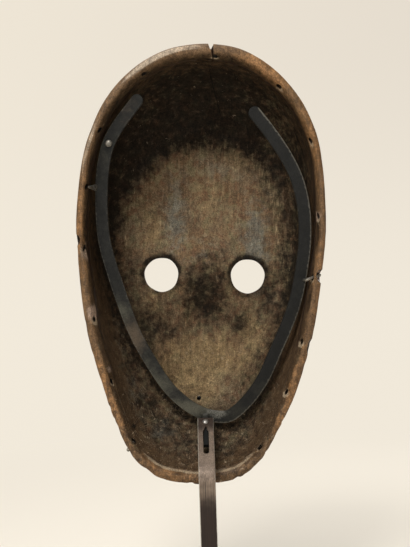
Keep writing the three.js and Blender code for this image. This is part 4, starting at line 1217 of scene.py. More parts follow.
    def holes(self, at: Sites) -> tuple[Array, Array]:
        """Gives how pale the lacing holes' worn lips are, with a painted highlight on their lower side, and
        the painted shade, with soot, in holes, on cut faces and in pits.
        """
        lips, dark = np.zeros_like(at.x), np.zeros_like(at.x)
        for hole, size, pale in self.lace_holes:
            line = self.lace_line(hole)
            start, mouth = np.array(line(0.0)), np.array(line(self.rim_width_at(hole)))
            reach = float(np.linalg.norm(mouth - start))
            axis = (mouth - start) / reach
            away = np.stack([at.x, -at.depth, at.z], -1) - start
            along = away @ axis
            off = away - along[:, None] * axis
            gap, lower = np.linalg.norm(off, axis=1), between(-off[:, 2], -0.6, 1.6)
            inside = (along > 1.0) * (along < reach + 3)
            # Painted shade, with soot, inside the lacing holes
            dark = np.maximum(dark, inside * (1 - between(gap, 1.45, 1.75)))
            ring = bump(gap - 1.7 - 0.5 * size, 0.2 + 0.85 * size)
            ring = ring * between(along, reach - 4.5, reach - 2.5) * (along < reach + 6)
            # Painted highlight: each lip is paler on its lower side, which faces up to the light; the rest is
            # pale worn wood
            lips = np.maximum(lips, pale * ring * (0.3 + 0.8 * lower))
        # Painted shade, with soot, on the faces cut through the wood's thickness
        bored = between(at.through, 0.2, 0.35) * (1 - between(at.through, 0.65, 0.8))
        dark = np.maximum(dark, 0.75 * bored * (at.inset > at.edge + 1))
        # Painted shade of the pits, which are not cut
        for x, z, size in self.pits:
            pit = 1 - between(np.hypot(at.x - x, at.z - z), 0.55 * size, size)
            dark = np.maximum(dark, pit * (at.front < 0.5))
        return lips, dark

    def marks(self, piece: bpy.types.Object) -> dict[str, Array]:
        """Works out, for each vertex, how far each mark of age, painted highlight and painted shade shows
        there, from 0 to 1.
        """
        at = self.sites(piece)
        x, z, level, inset, hollow = at.x, at.z, at.level, at.inset, 1 - at.front
        lips, dark = self.holes(at)
        fibres = np.zeros_like(x)
        for knots, reach in self.splinters:
            fibres = np.maximum(fibres, bump(far_from(knots, x, z), reach) * (inset > at.edge))
        # Painted highlight with wear: the chin's inner crest is pale where it catches the light and is rubbed
        chin_crest = bump(inset - at.edge + 1.1, 0.62) * between(-level, 0.86, 0.94)
        chin_crest *= between(-np.abs(x + 4), -44, -30)
        streak = noise(np.stack([at.angle * 60, 0 * x, 0 * x], -1), 6, 23)
        crest = bump(inset - 2.5, 2.1) * (0.6 + 0.4 * streak)
        raised, rubbed_edge = between(self.features(x, z), 1, 9), 1 - between(inset, 2, 9)
        scored = np.maximum(patched(self.ochre[:2], x, z), 0.35 + 0.3 * between(-z, 60, 95))
        return {
            "rim": self.rim_wear(at),
            "soot_and_shade": self.soot_and_shade(at),
            "ochre": patched(self.ochre, x, z),
            "bloom": patched(self.bloom, x, z),
            # Painted highlight along the rim's crest, strongest high on the +X side where the light falls,
            # mixed with pale wear
            "pale": (0.25 + 0.75 * between(level, 0.2, 0.7) * between(x, -6, 8)) * crest,
            "golden": patched(self.golden, x, z) * hollow,
            "inset": inset / INSET_RANGE,
            "rough": between(-level, 0.1, 0.75) * 0.8,
            "raw_wood_and_highlight": np.maximum(1.1 * lips, 0.95 * chin_crest),
            "scar": patched(self.scars, x, z) * (1 - between(at.depth, 9, 14)) * hollow,
            "scored": scored * (1 - 0.6 * at.front),
            "fibres": fibres,
            "shoulder": self.shoulder(at),
            "front": at.front,
            "polish": at.front * np.clip(0.12 + 0.6 * raised + 0.5 * rubbed_edge, 0, 1),
            "deep": dark,
        }

    def build(self) -> bpy.types.Object:
        """Builds the mask, cuts its holes, bites and crack, marks it and dresses it."""
        skin = self.worn_skin()
        rings = self.in_stand(skin)
        piece = ringed_piece("carved_mask", rings)
        log.info("mask shell: %d faces", len(piece.data.polygons))
        combined(piece, self.cutters())
        combined(piece, [self.crack()])
        shade_smooth(piece, 42)
        record_values(piece, self.marks(piece))
        return finished(piece, CarvedWood().material(self.placement, self.hub), "carved_wood", "mask")


# The cradle


def bar_section(half_width: Array, half_thickness: float, radius: float) -> tuple[Array, Array, Array]:
    """Gives the outline of a bar's section: a rectangle with quarter rounds at its corners.

    Each point is a corner's centre plus the radius times cosine and sine of an angle. On the flats
    the angle stays and the centre moves from one corner to the next.

    Args:
        half_width: half widths of shape (n,), one for each section.
        half_thickness: half the thickness.
        radius: radius of the corners.

    Returns:
        Places across, places through and nearness to a corner, each of shape (n, points).
    """
    corners, rows = ((1, 1), (-1, 1), (-1, -1), (1, -1)), []
    for k, (side, face) in enumerate(corners):
        next_side, next_face = corners[(k + 1) % 4]
        rows += [(side, face, 90 * k + 18 * step, 1.0) for step in range(6)]
        inner = 7 if k % 2 == 0 else 3
        for step in range(1, inner):
            share = step / inner
            on_side, on_face = side + (next_side - side) * share, face + (next_face - face) * share
            rows.append((on_side, on_face, 90 * (k + 1), 0.0))
    side, face, angle, edge = (np.array(column, float)[None, :] for column in zip(*rows))
    half = np.asarray(half_width, float)[:, None]
    round_ = np.minimum(radius, 0.9 * half)
    across = side * (half - round_) + round_ * np.cos(np.radians(angle))
    through = face * (half_thickness - round_) + round_ * np.sin(np.radians(angle))
    return across, through, np.broadcast_to(edge, across.shape)


@dataclass(frozen=True)
class Slant:
    """The frame of the post's slanted top: x across, y down along the post, z out, in millimetres."""

    root: tuple[float, float, float] = (0.0, -6.042, 116.859)
    slant_deg: float = 54.0

    def to_stand(self, x: Array, y: Array, z: Array) -> Array:
        """Turns places in this frame into the stand's frame in metres."""
        c, s = math.cos(math.radians(self.slant_deg)), math.sin(math.radians(self.slant_deg))
        rx, ry, rz = self.root
        return np.stack(np.broadcast_arrays(rx + x, ry + s * y + c * z, rz - c * y + s * z), axis=-1) * MM

    def turned(
        self, name: str, start: Sequence[float], end: Sequence[float], profile: Profile, around: int = 32
    ) -> bpy.types.Object:
        """Turns a profile about the axis between two places of this frame."""
        rings = turned_rings(np.array(start, float), np.array(end, float), profile, around)
        return ringed_piece(name, self.to_stand(rings[..., 0], rings[..., 1], rings[..., 2]))


@dataclass(frozen=True)
class BlackSteel:
    """Blackened flat steel bar: satin, mottled, with grey-green bloom and brown patches that are partly
    painted sheen, edges rubbed bright and partly painted as highlights, and painted shade on its -X arm and
    flanks.
    """

    base: Color = paint(40, 40, 37)
    dark: Color = paint(27, 27, 26)
    shaded: Color = paint(19, 19, 18)
    bloom: Color = paint(92, 90, 78)
    brown: Color = paint(98, 85, 70)
    bare: Color = paint(120, 116, 106)
    solder: Color = paint(150, 148, 138)

    def material(self) -> bpy.types.Material:
        """Builds the finish from the strip's stored places."""
        material, w, surface = new_material("black_steel")
        place = w.in_millimetres()
        blotch, grit = w.mottle(place, 3.2, 1.1)
        cloud, _ = w.mottle(place, 11.0, 1.3)
        edge = w.worn(place, "edge", 2.2, 1.2, 0.3)
        solder = w.worn(place, "solder", 2.0, 1.2, 0.35)
        color = w.laid(blotch, self.dark, self.base)
        # Grey-green and brown patches: partly painted sheen, partly the steel's bloom and rust
        color = w.over(color, self.bloom, w.worn(place, "bloom", 3.5, 0.9, 0.4), 0.85)
        color = w.over(color, self.brown, w.worn(place, "brown", 4.0, 0.8, 0.35), 0.8)
        color = w.over(color, self.shaded, w.stored("shaded"), 0.8)
        # Edges rubbed bright, partly a painted highlight
        color = w.over(color, self.bare, edge, 0.75)
        patch = w.laid(w.eased(grit, 0.38, 0.66), self.solder, self.base)
        color = w.over(color, patch, solder, 0.85)
        w.feed(surface.inputs["Base Color"], w.toned(color, w.ranged(grit, 0.1, 1.9)))
        w.feed(surface.inputs["Metallic"], w.ranged(edge, 0.1, 0.7))
        surface.inputs["Specular IOR Level"].default_value = 0.22
        rough = w.ranged(cloud, 0.42, 0.58)
        w.feed(surface.inputs["Roughness"], w.math("MULTIPLY_ADD", solder, 0.2, rough))
        height = w.math("MULTIPLY_ADD", blotch, 0.5, w.math("MULTIPLY", grit, 0.6))
        w.relief(surface, 0.35, 0.25, height)
        return material


@dataclass(frozen=True)
class BrightSteel:
    """Bare dull steel of rivets, pins and wires, with dark grime in patches."""

    bare: Color = paint(176, 170, 158)
    grime: Color = paint(48, 43, 38)

    def material(self) -> bpy.types.Material:
        """Builds the finish: grime in blotches over bare metal."""
        material, w, surface = new_material("bright_steel")
        place = w.in_millimetres()
        blotch, grit = w.mottle(place, 1.6, 1.6)
        w.feed(surface.inputs["Base Color"], w.over(self.bare, self.grime, blotch, 0.7))
        surface.inputs["Metallic"].default_value = 0.8
        w.feed(surface.inputs["Roughness"], w.ranged(blotch, 0.3, 0.6))
        w.relief(surface, 0.3, 0.1, grit)
        return material


@dataclass
class Cradle:
    """The strip bent to a heart shape in the hollow, with its tang, rivet, wire prongs and nail."""

    mask: Mask
    slant: Slant = field(default_factory=Slant)
    width: float = 7.6
    thickness: float = 2.4
    middle_depth: float = 16.3
    lean_up: float = -0.11
    lean_across: float = 0.07
    tang: tuple[float, float, float] = (3.2, 2.2, 27.0)
    hollow_half_width: float = 66.9
    hollow_half_heights: tuple[float, float] = (121.5, 119.5)
    rivet_share: float = 0.0705
    steps: int = 460
    notch_angle: float = 183.2
    nail_angle: float = 290.5
    # The strip's outer edge from its free end on the +X side, round the bottom, to the other end
    edge: tuple[tuple[float, float], ...] = (
        (0.644, 0.813), (0.823, 0.679), (0.904, 0.591), (0.953, 0.462), (0.962, 0.262), (0.935, 0.11),
        (0.859, -0.044), (0.656, -0.351), (0.502, -0.506), (0.32, -0.652), (0.163, -0.732),
        (0.013, -0.781), (-0.123, -0.802), (-0.295, -0.797), (-0.462, -0.719), (-0.617, -0.594),
        (-0.731, -0.446), (-0.84, -0.292), (-0.904, -0.177), (-0.951, -0.022), (-0.974, 0.13),
        (-0.958, 0.281), (-0.889, 0.431), (-0.773, 0.556), (-0.614, 0.678), (-0.493, 0.759),
    )
    green_and_sheen: tuple[Patch, ...] = (
        Patch(49, -30, 8, 9, 0.7), Patch(30, -74, 16, 8, 0.8), Patch(8, -88, 16, 6, 0.9),
        Patch(-22, -89, 10, 7, 0.6), Patch(36, -62, 9, 9, 0.5), Patch(60, 66, 8, 20, 0.3),
        Patch(-38, -76, 8, 8, 0.5),
    )
    rusty_and_sheen: tuple[Patch, ...] = (
        Patch(42, -46, 9, 12, 0.9), Patch(46, 92, 8, 12, 0.35), Patch(-60, -30, 5, 16, 0.3),
    )
    solder_marks: tuple[Patch, ...] = (Patch(-12, -90, 5.5, 3.4, 0.85), Patch(-7, -88, 3, 2.4, 0.7))

    def depth_at(self, x: Array, z: Array) -> Array:
        """Gives the depth of the strip's middle plane, which leans in both directions."""
        return self.middle_depth + self.lean_up * z + self.lean_across * x

    def centre_line(self, count: int) -> tuple[Array, Array]:
        """Gives evenly spaced points of the strip's centre line and the unit vectors inwards."""
        knots = np.array(self.edge)
        up, down = self.hollow_half_heights
        halves = [np.full(len(knots), self.hollow_half_width), np.where(knots[:, 1] > 0, up, down)]
        knots = knots * np.stack(halves, -1)
        line = evenly(catmull_rom(knots, closed=False, power=0.5), count, closed=False)
        along = np.gradient(line, axis=0)
        along /= np.linalg.norm(along, axis=1, keepdims=True)
        inward = np.stack([along[:, 1], -along[:, 0]], axis=-1)
        return line + inward * self.width / 2, inward

    def strip(self) -> bpy.types.Object:
        """Builds the strip: a rounded bar section carried along its line, with round ends.

        The half width shrinks over the last half width of each end as the sine of an angle while
        the line runs on by its cosine, which makes the ends round in plan. Slow noise thins the
        bar a little, as hammering leaves it.

        Returns:
            The strip with its stored places.
        """
        line, inward = self.centre_line(self.steps)
        along = np.stack([-inward[:, 1], inward[:, 0]], axis=-1)
        half = self.width / 2
        turn = np.radians(np.linspace(6, 84, 12))[:, None]
        start = line[:1] - along[:1] * half * np.cos(turn)
        stop = line[-1:] + along[-1:] * half * np.cos(turn[::-1])
        centre = np.vstack([start, line, stop])
        side = np.vstack([np.repeat(inward[:1], 12, 0), inward, np.repeat(inward[-1:], 12, 0)])
        ends = half * np.sin(turn[:, 0])
        half_width = np.concatenate([ends, np.full(len(line), half), ends[::-1]])
        across, through, _ = bar_section(half_width, self.thickness / 2, 0.42)
        rough = noise(np.stack([centre[:, 0], centre[:, 1], centre[:, 0] * 0], -1), 11, 31)[:, None]
        across = across * (1 - 0.012 - 0.012 * rough)
        x = centre[:, :1] + side[:, :1] * across
        z = centre[:, 1:] + side[:, 1:] * across
        dents = 0.05 * (1 + noise(np.stack([x, z, through * 9], -1), 3.3, 33))
        depth = self.depth_at(x, z) + through * (1 - dents)
        rings = self.mask.placement.to_stand(x, depth, z)
        piece = ringed_piece("cradle_strip", rings, sharp_deg=60)
        combined(piece, [self.tang_slab()], join=True)
        self.store(piece, centre)
        return piece

    def tang_slab(self) -> bpy.types.Object:
        """Builds the tang, a rounded slab that runs from the strip's middle down into the post."""
        width, thick, length = self.tang
        across, through, _ = bar_section(np.full(10, width / 2), thick / 2, 0.3)
        down = np.linspace(0, length, 10)[:, None]
        rings = self.slant.to_stand(across, np.broadcast_to(down, across.shape), through)
        return ringed_piece("tang", rings, sharp_deg=60)

    def store(self, piece: bpy.types.Object, centre: Array) -> None:
        """Stores where the strip is green or brown, partly as painted sheen, rubbed bright at its edges with
        painted highlights, soldered, or in painted shade.

        Nearness to an edge comes from the distance of each vertex to the strip's centre line and
        from its height over the strip's middle plane.
        """
        x, depth, z = self.mask.placement.to_mask(vertices_of(piece))
        line = centre[::3]
        gaps = np.hypot(x[:, None] - line[None, :, 0], z[:, None] - line[None, :, 1])
        away, nearest = gaps.min(axis=1), gaps.argmin(axis=1)
        above = self.depth_at(x, z) - depth
        # Painted highlight with wear: the edges are brighter on their outer side, most on the -X arm, and
        # brightest at that arm's upper end
        border = between(away, self.width / 2 - 0.75, self.width / 2 - 0.2) * between(above, 0.5, 1.1)
        right = between(-x, 0, 20)
        outside = np.hypot(x, z + 12) > np.hypot(line[nearest, 0], line[nearest, 1] + 12)
        border *= np.where(right > 0.5, np.where(outside, 0.85, 0.2), np.where(outside, 0.5, 0.35))
        tang = between(away, self.width / 2 + 0.3, self.width / 2 + 1.2)
        flank = between(away, self.width / 2 - 0.4, self.width / 2 - 0.05) * between(-above, -0.6, 0.2)
        record_values(piece, {
            # Lighter patches: partly painted sheen, partly bloom and rust
            "bloom": patched(self.green_and_sheen, x, z) * (above > 0) * (1 - tang),
            "brown": patched(self.rusty_and_sheen, x, z) * (above > 0) * (1 - tang),
            "edge": border * (1 - tang) * (1 + bump(np.hypot(x + 33, z - 92), 7)),
            "solder": patched(self.solder_marks, x, z) * (above > 0.2) * (1 - tang),
            "shaded": np.maximum(np.maximum(tang, flank), right * (0.55 + 0.35 * between(-z, 10, 60))),
        })

    def wire(self, name: str, line: Array, radius: Array, flatten: float = 1.0) -> bpy.types.Object:
        """Builds a wire along points of the mask's frame, given as x, minus depth and z."""
        rings = round_rings(line, radius, 24, flatten)
        return ringed_piece(name, self.mask.in_stand(rings), sharp_deg=60)

    def prong_line(self, angle_deg: float, tip_inset: float, count: int) -> Array:
        """Gives a prong's line: up from the strip, a rounded elbow, out along a lacing hole."""
        hole = self.mask.lace_line(angle_deg)
        elbow, tip = np.array(hole(self.mask.rim_width_at(angle_deg) + 2.9)), np.array(hole(tip_inset))
        back = self.thickness / 2 - float(self.depth_at(elbow[0], elbow[2]))
        foot = np.array([elbow[0], back - 0.3, elbow[2]])
        t = np.linspace(0, 1, count)[:, None]
        near = elbow + (foot - elbow) * min(1.0, 2.2 / float(np.linalg.norm(foot - elbow)))
        far = elbow + (tip - elbow) * 0.3
        bend = near * (1 - t) ** 2 + 2 * elbow * t * (1 - t) + far * t**2
        route = np.vstack([foot + (near - foot) * t[:-1], bend, far + (tip - far) * t[1:]])
        return evenly(route, count, closed=False)

    def high_prong(self) -> bpy.types.Object:
        """Builds the flattened wedge of wire that tapers from the strip to the rim's hole."""
        root, tip = np.array([64.0, -15.4, 45.2]), np.array([67.2, -3.2, 44.4])
        t = np.linspace(0, 1, 40)[:, None]
        lift = np.array([0, 0.8, 0]) * 4 * t * (1 - t)
        share = t[:, 0]
        radius = (1.25 - 0.9 * share**0.9) * np.sqrt(np.clip((1.02 - share) / 0.06, 0.05, 1))
        return self.wire("prong_high_wire", root + (tip - root) * t + lift, radius, flatten=1.7)

    def notch_prong(self) -> bpy.types.Object:
        """Builds the wire that ends in a round knob in the rim's notch."""
        line = self.prong_line(self.notch_angle, 0.6, 60)
        share = np.linspace(0, 1, 60)
        knob = 1.35 * np.sqrt(np.clip(1 - ((share - 0.93) / 0.07) ** 2, 0.01, 1))
        radius = np.where(share > 0.88, knob, 0.75 + 0.25 * (1 - share))
        return self.wire("prong_notch_wire", line, radius)

    def nail(self) -> bpy.types.Object:
        """Builds the end of a nail in the chin's lacing hole, a little bent and blunt."""
        hole = self.mask.lace_line(self.nail_angle)
        edge = self.mask.rim_width_at(self.nail_angle)
        start, end = np.array(hole(-1.6)), np.array(hole(edge - 2.2))
        t = np.linspace(0, 1, 26)[:, None]
        line = start + (end - start) * t
        radius = 1.1 * np.sqrt(np.clip(1 - np.abs(2 * t[:, 0] - 1) ** 9, 0.04, 1))
        return self.wire("chin_nail_stub", line, radius)

    def rivet(self) -> bpy.types.Object:
        """Builds the rivet through the strip's upper end, with a worn domed head."""
        line, _ = self.centre_line(self.steps)
        x, z = line[round(self.rivet_share * 459)]
        back = self.thickness / 2 - float(self.depth_at(x, z))
        start, end = np.array([x, back - self.thickness - 0.3, z]), np.array([x, back + 1.5, z])
        length = self.thickness + 1.8
        seat = 1 - 1.5 / length
        dome = np.radians(np.linspace(0, 88, 12))
        profile = [(0, 0.8), (seat - 0.01, 0.8), (seat, 2.1)]
        profile += [
            (seat + (1 - seat) * float(0.25 + 0.75 * math.sin(a)), 2.2 * math.cos(a) ** 0.8) for a in dome
        ]
        rings = turned_rings(start, end, profile, 32)
        return ringed_piece("cradle_rivet_head", self.mask.in_stand(rings))

    def build(self) -> list[bpy.types.Object]:
        """Builds and dresses the strip and everything that is fixed on it."""
        black, bright = BlackSteel().material(), BrightSteel().material()
        return [
            finished(self.strip(), black, "black_steel", "cradle_band"),
            finished(self.rivet(), bright, "bright_steel", "cradle_rivet"),
            finished(self.high_prong(), bright, "bright_steel", "cradle_prong_high"),
            finished(self.notch_prong(), bright, "bright_steel", "cradle_prong_notch"),
            finished(self.nail(), bright, "bright_steel", "chin_nail"),
        ]


# The post and the foot


@dataclass(frozen=True)
class WornSteel:
    """Grey-brown satin bar, brushed along its length, darker and browner low down, its edges rubbed bright
    with a painted highlight on the +X edge.
    """

    light: Color = paint(142, 124, 108)
    brown: Color = paint(43, 28, 20)
    dark: Color = paint(46, 37, 31)
    bare: Color = paint(206, 198, 184)

    def material(self) -> bpy.types.Material:
        """Builds the finish from the post's stored length and edges."""
        material, w, surface = new_material("worn_steel")
        place = w.in_millimetres()
        lines = w.streaks(place, 0.35, 30.0)
        cloud, _ = w.mottle(place, 7.0, 1.2)
        color = w.laid(w.worn(place, "brown", 9.0, 0.7, 0.45), self.light, self.brown)
        color = w.over(color, self.dark, cloud, 0.45)
        # Edges rubbed bright; the +X edge's extra brightness is a painted highlight
        color = w.over(color, self.bare, w.worn(place, "edge", 3.0, 1.0, 0.3), 0.7)
        w.feed(surface.inputs["Base Color"], w.toned(color, w.ranged(lines, -0.5, 2.5)))
        surface.inputs["Metallic"].default_value = 0.35
        rough = w.ranged(cloud, 0.28, 0.4)
        w.feed(surface.inputs["Roughness"], w.math("MULTIPLY_ADD", lines, 0.25, rough))
        w.relief(surface, 0.25, 0.12, lines)
        return material


@dataclass
class Post:
    """The flat bar that slants down from the tang, bends and stands in the foot, with its pin."""

    slant: Slant = field(default_factory=Slant)
    width: float = 9.6
    thickness: float = 5.0
    top: float = 5.8
    upright_y: float = 34.0
    bend_radius: float = 9.0
    foot_z: float = 3.3
    slot_start: float = 13.1
    slot_neck: float = 16.6
    slot_end: float = 35.6
    slot_halves: tuple[float, float] = (0.75, 1.7)
    pin_at: float = 9.4

    def line(self) -> Array:
        """Gives the post's line as (y, z): straight, a round bend, straight down to the foot."""
        c, s = math.cos(math.radians(self.slant.slant_deg)), math.sin(math.radians(self.slant.slant_deg))
        along, inward = np.array([s, -c]), np.array([-c, -s])
        top = np.array(self.slant.root[1:]) + along * self.top
        corner = top + along * (self.upright_y - top[0]) / s
        turn = math.radians(self.slant.slant_deg)
        begin = corner - along * self.bend_radius * math.tan(turn / 2)
        angle = np.linspace(0, turn, 15)[:, None]
        centre = begin + inward * self.bend_radius
        bend = centre - inward * self.bend_radius * np.cos(angle) + along * self.bend_radius * np.sin(angle)
        upper = top + (begin - top) * np.linspace(0, 1, 26)[:-1, None]
        fall = np.array([self.upright_y, self.foot_z]) - bend[-1]
        lower = bend[-1] + fall * np.linspace(0, 1, 40)[1:, None]
        return np.vstack([upper, bend, lower])

    def bar(self) -> bpy.types.Object:
        """Carries the bar's section along the line and cuts the socket, the slot and the pin's hole."""
        line = self.line()
        along = np.gradient(line, axis=0)
        along /= np.linalg.norm(along, axis=1, keepdims=True)
        outward = np.stack([along[:, 1], -along[:, 0]], axis=-1)
        across, through, _ = bar_section(np.full(len(line), self.width / 2), self.thickness / 2, 0.55)
        y = line[:, :1] + outward[:, :1] * through
        z = line[:, 1:] + outward[:, 1:] * through
        piece = ringed_piece("post_bar", np.stack([across, y, z], axis=-1) * MM, sharp_deg=50)
        combined(piece, [self.socket(), self.slot(), self.pin_hole()])
        soften = piece.modifiers.new("soft_edges", "BEVEL")
        soften.width, soften.segments, soften.limit_method = 0.28 * MM, 2, "ANGLE"
        soften.angle_limit = math.radians(55)
        baked(piece)
        shade_smooth(piece, 35)
        x, _, height = (vertices_of(piece) / MM).T
        # The +X edge is brighter than the -X edge: wear with a painted highlight
        record_values(piece, {
            "brown": between(-height, -84, -66) + 0.75 * between(height, 106, 112),
            "edge": between(np.abs(x), 4.2, 4.75) * np.where(x > 0, 1.3, 0.7),
        })
        return piece

    def socket(self) -> bpy.types.Object:
        """Makes the cutter of the hole that takes the tang."""
        across, through, _ = bar_section(np.full(2, 1.9), 1.4, 0.2)
        down = np.array([[0.0], [27.3]])
        rings = self.slant.to_stand(across, np.broadcast_to(down, across.shape), through)
        return ringed_piece("socket_cutter", rings)

    def slot(self) -> bpy.types.Object:
        """Makes the cutter of the slot: a slim neck that opens into a wider part with round ends."""
        slim, wide = self.slot_halves
        turn = np.radians(np.linspace(0, 90, 9))
        top = np.stack([slim * np.sin(turn), self.slot_start + slim * (1 - np.cos(turn))], -1)
        share = np.linspace(0, 1, 9)[:, None]
        flank = np.hstack([slim + (wide - slim) * smooth(share), self.slot_neck - 1.7 + 2.6 * share])
        foot = np.stack([wide * np.cos(turn), self.slot_end - wide + wide * np.sin(turn)], -1)
        right = np.vstack([top, flank, foot])
        loop = np.vstack([right, right[-2:0:-1] * [-1, 1]])
        ring = np.stack([loop, loop])
        height = np.broadcast_to(np.array([[-6.0], [6.0]]), ring.shape[:2])
        return ringed_piece("slot_cutter", self.slant.to_stand(ring[..., 0], ring[..., 1], height))

    def pin_hole(self) -> bpy.types.Object:
        """Makes the cutter of the pin's hole."""
        start, end = (0, self.pin_at, -4), (0, self.pin_at, 4)
        return self.slant.turned("pin_cutter", start, end, [(0, 1.1), (1, 1.1)], 24)

    def pin(self) -> bpy.types.Object:
        """Builds the pin, with a low domed head that sits on the post."""
        low, high = -self.thickness / 2, self.thickness / 2 + 1.3
        length = high - low
        seat = self.thickness / length
        dome = np.radians(np.linspace(0, 88, 12))
        profile = [(0, 0.9), (seat - 0.005, 0.95), (seat, 1.75)]
        profile += [
            (seat + (1 - seat) * (0.25 + 0.75 * math.sin(a)), 1.85 * math.cos(a) ** 0.8) for a in dome
        ]
        return self.slant.turned("post_pin_head", (0, self.pin_at, low), (0, self.pin_at, high), profile)

    def build(self) -> list[bpy.types.Object]:
        """Builds and dresses the post and its pin."""
        bright = bpy.data.materials["bright_steel"]
        return [
            finished(self.bar(), WornSteel().material(), "worn_steel", "stand_post"),
            finished(self.pin(), bright, "bright_steel", "post_pin"),
        ]


@dataclass(frozen=True)
class PlateSteel:
    """Blackened plate of the foot: satin, faintly mottled, with chamfers rubbed grey."""

    base: Color = paint(40, 40, 41)
    dark: Color = paint(22, 22, 24)
    worn: Color = paint(112, 108, 102)

    def material(self) -> bpy.types.Material:
        """Builds the finish; its rubbed border lies where x or y nears the plate's edge."""
        material, w, surface = new_material("plate_steel")
        place = w.in_millimetres()
        blotch, grit = w.mottle(place, 7.0, 1.0)
        lines = w.streaks(place, 1.2, 1.2)
        split = w.node("SeparateXYZ", None, Vector=place).outputs
        reach = w.math("MAXIMUM", w.math("ABSOLUTE", split[0]), w.math("ABSOLUTE", split[1]))
        rubbed = w.worn(place, w.eased(reach, 58.4, 59.6), 5.0, 1.1, 0.3)
        color = w.laid(blotch, self.dark, self.base)
        w.feed(surface.inputs["Base Color"], w.over(color, self.worn, rubbed, 0.6))
        surface.inputs["Metallic"].default_value = 0.4
        w.feed(surface.inputs["Roughness"], w.ranged(blotch, 0.38, 0.52))
        height = w.math("MULTIPLY_ADD", lines, 0.6, w.math("MULTIPLY", grit, 0.5))
        w.relief(surface, 0.25, 0.15, height)
        return material


@dataclass
class Foot:
    """The square foot plate, which keeps its own solid."""

    node: str = "foot_plate"

    def dress(self) -> None:
        """Puts the plate's finish on the node's object."""
        finish = PlateSteel().material()
        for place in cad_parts[self.node].material_slots:
            place.material = finish


# The studio


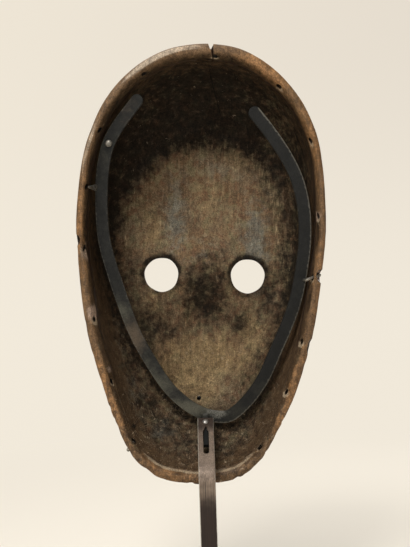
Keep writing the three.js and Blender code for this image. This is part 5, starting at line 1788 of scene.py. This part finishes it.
@dataclass
class Studio:
    """A pale floor that curves up behind the mask, soft lights and the camera."""

    floor_radius: float = 1.7
    curve: float = 0.6
    wall_height: float = 3.2
    camera_at: tuple[float, float, float] = (-0.00267, 0.640, 0.20267)
    lens: float = 69.68
    roll_deg: float = -1.9

    def backdrop(self) -> bpy.types.Object:
        """Turns a profile about the upright axis: a level floor, a quarter round, an upright wall."""
        turn = np.radians(np.linspace(0, 90, 25))[1:]
        level = np.geomspace(0.02, self.floor_radius, 16)
        bend = self.floor_radius + self.curve * np.sin(turn)
        radius = np.concatenate([level, bend, [self.floor_radius + self.curve]])
        height = np.concatenate([0 * level, self.curve * (1 - np.cos(turn)), [self.wall_height]]) - 0.0002
        around = np.linspace(0, 2 * np.pi, 96, endpoint=False)[None, :]
        x, y = radius[:, None] * np.cos(around), radius[:, None] * np.sin(around)
        rings = np.stack(np.broadcast_arrays(x, y, height[:, None]), -1)
        faces = [*ring_faces(len(radius), 96).tolist(), list(range(96))[::-1]]
        mesh = bpy.data.meshes.new("studio_sheet")
        mesh.from_pydata(rings.reshape(-1, 3).tolist(), [], faces)
        mesh.polygons.foreach_set("use_smooth", np.ones(len(mesh.polygons), bool))
        sheet = bpy.data.objects.new("studio_sheet", mesh)
        bpy.context.scene.collection.objects.link(sheet)
        mesh.materials.append(self.paper())
        return sheet

    def paper(self) -> bpy.types.Material:
        """Builds the sheet's finish: paper near the foot, and further away a cream that glows for camera
        rays, with painted light: lighter towards +X and near the floor.
        """
        material, w, surface = new_material("studio_paper")
        place = w.placed()
        split = w.node("SeparateXYZ", None, Vector=place).outputs
        away = w.node("VectorMath", {"operation": "LENGTH"}, Vector=place).outputs["Value"]
        # Painted light: the glowing cream is lighter towards +X and near the floor
        cream = w.laid(w.eased(split[0], -0.9, 0.9), paint(229, 220, 206), paint(239, 230, 214))
        low = w.math("SUBTRACT", 1.0, w.eased(split[2], 0.0, 0.9))
        cream = w.laid(w.math("MULTIPLY", low, 0.8), cream, paint(243, 235, 220))
        surface.inputs["Base Color"].default_value = paint(240, 233, 220)
        surface.inputs["Roughness"].default_value = 0.9
        glow = w.node("Emission", None, Color=cream).outputs[0]
        seen = w.node("LightPath").outputs["Is Camera Ray"]
        clear = w.node("BsdfTransparent").outputs[0]
        body = w.shaded(w.eased(split[2], 0.002, 0.3), surface.outputs[0], clear)
        shown = w.shaded(w.math("MULTIPLY", seen, w.eased(away, 0.1, 0.7)), body, glow)
        w.feed(material.node_tree.nodes["Material Output"].inputs["Surface"], shown)
        return material

    def area(self, name: str, at: Sequence[float], size: float, power: float, tint: Sequence[float]) -> None:
        """Adds a square soft light that faces the middle of the mask."""
        light = bpy.data.lights.new(name, "AREA")
        light.shape, light.size, light.energy, light.color = "SQUARE", size, power, tint
        lamp = bpy.data.objects.new(name, light)
        lamp.visible_camera = False
        toward = Vector((0, 0, 0.2)) - Vector(at)
        lamp.matrix_world = Matrix.Translation(at) @ toward.to_track_quat("-Z", "Y").to_matrix().to_4x4()
        bpy.context.scene.collection.objects.link(lamp)

    def build(self) -> None:
        """Sets up the sheet, the lights, the world and the camera."""
        self.backdrop()
        self.area("key_light", (0.32, 0.74, 1.05), 0.42, 8.0, (1.0, 0.975, 0.94))
        self.area("fill_light", (0.1, 1.5, 0.3), 0.8, 3.0, (0.97, 0.98, 1.0))
        self.area("top_light", (0.1, -0.1, 1.25), 0.8, 6.2, (1.0, 0.985, 0.965))
        self.area("face_light", (-0.5, -1.0, 0.75), 0.7, 7.0, (1.0, 0.98, 0.95))
        world = bpy.data.worlds.new("soft_world")
        world.use_nodes = True
        world.node_tree.nodes["Background"].inputs["Color"].default_value = (0.95, 0.93, 0.9, 1)
        world.node_tree.nodes["Background"].inputs["Strength"].default_value = 0.24
        bpy.context.scene.world = world
        bpy.context.scene.view_settings.view_transform = "Standard"
        lens = bpy.data.cameras.new("photo_camera")
        lens.lens, lens.sensor_width, lens.clip_start = self.lens, 36, 0.01
        camera = bpy.data.objects.new("photo_camera", lens)
        level = Matrix.Rotation(math.pi, 4, "Z") @ Matrix.Rotation(math.pi / 2, 4, "X")
        roll = Matrix.Rotation(math.radians(self.roll_deg), 4, "Z")
        camera.matrix_world = Matrix.Translation(self.camera_at) @ level @ roll
        bpy.context.scene.collection.objects.link(camera)
        bpy.context.scene.camera = camera


def main() -> None:
    """Builds the mask, the cradle, the post, the foot and the studio."""
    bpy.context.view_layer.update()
    mask = Mask()
    pieces = [mask.build(), *Cradle(mask).build(), *Post().build()]
    Foot().dress()
    Studio().build()
    for piece in pieces:
        piece.data.calc_loop_triangles()
        log.info("%s: %d triangles", piece.name, len(piece.data.loop_triangles))


if __name__ == "__main__":
    main()
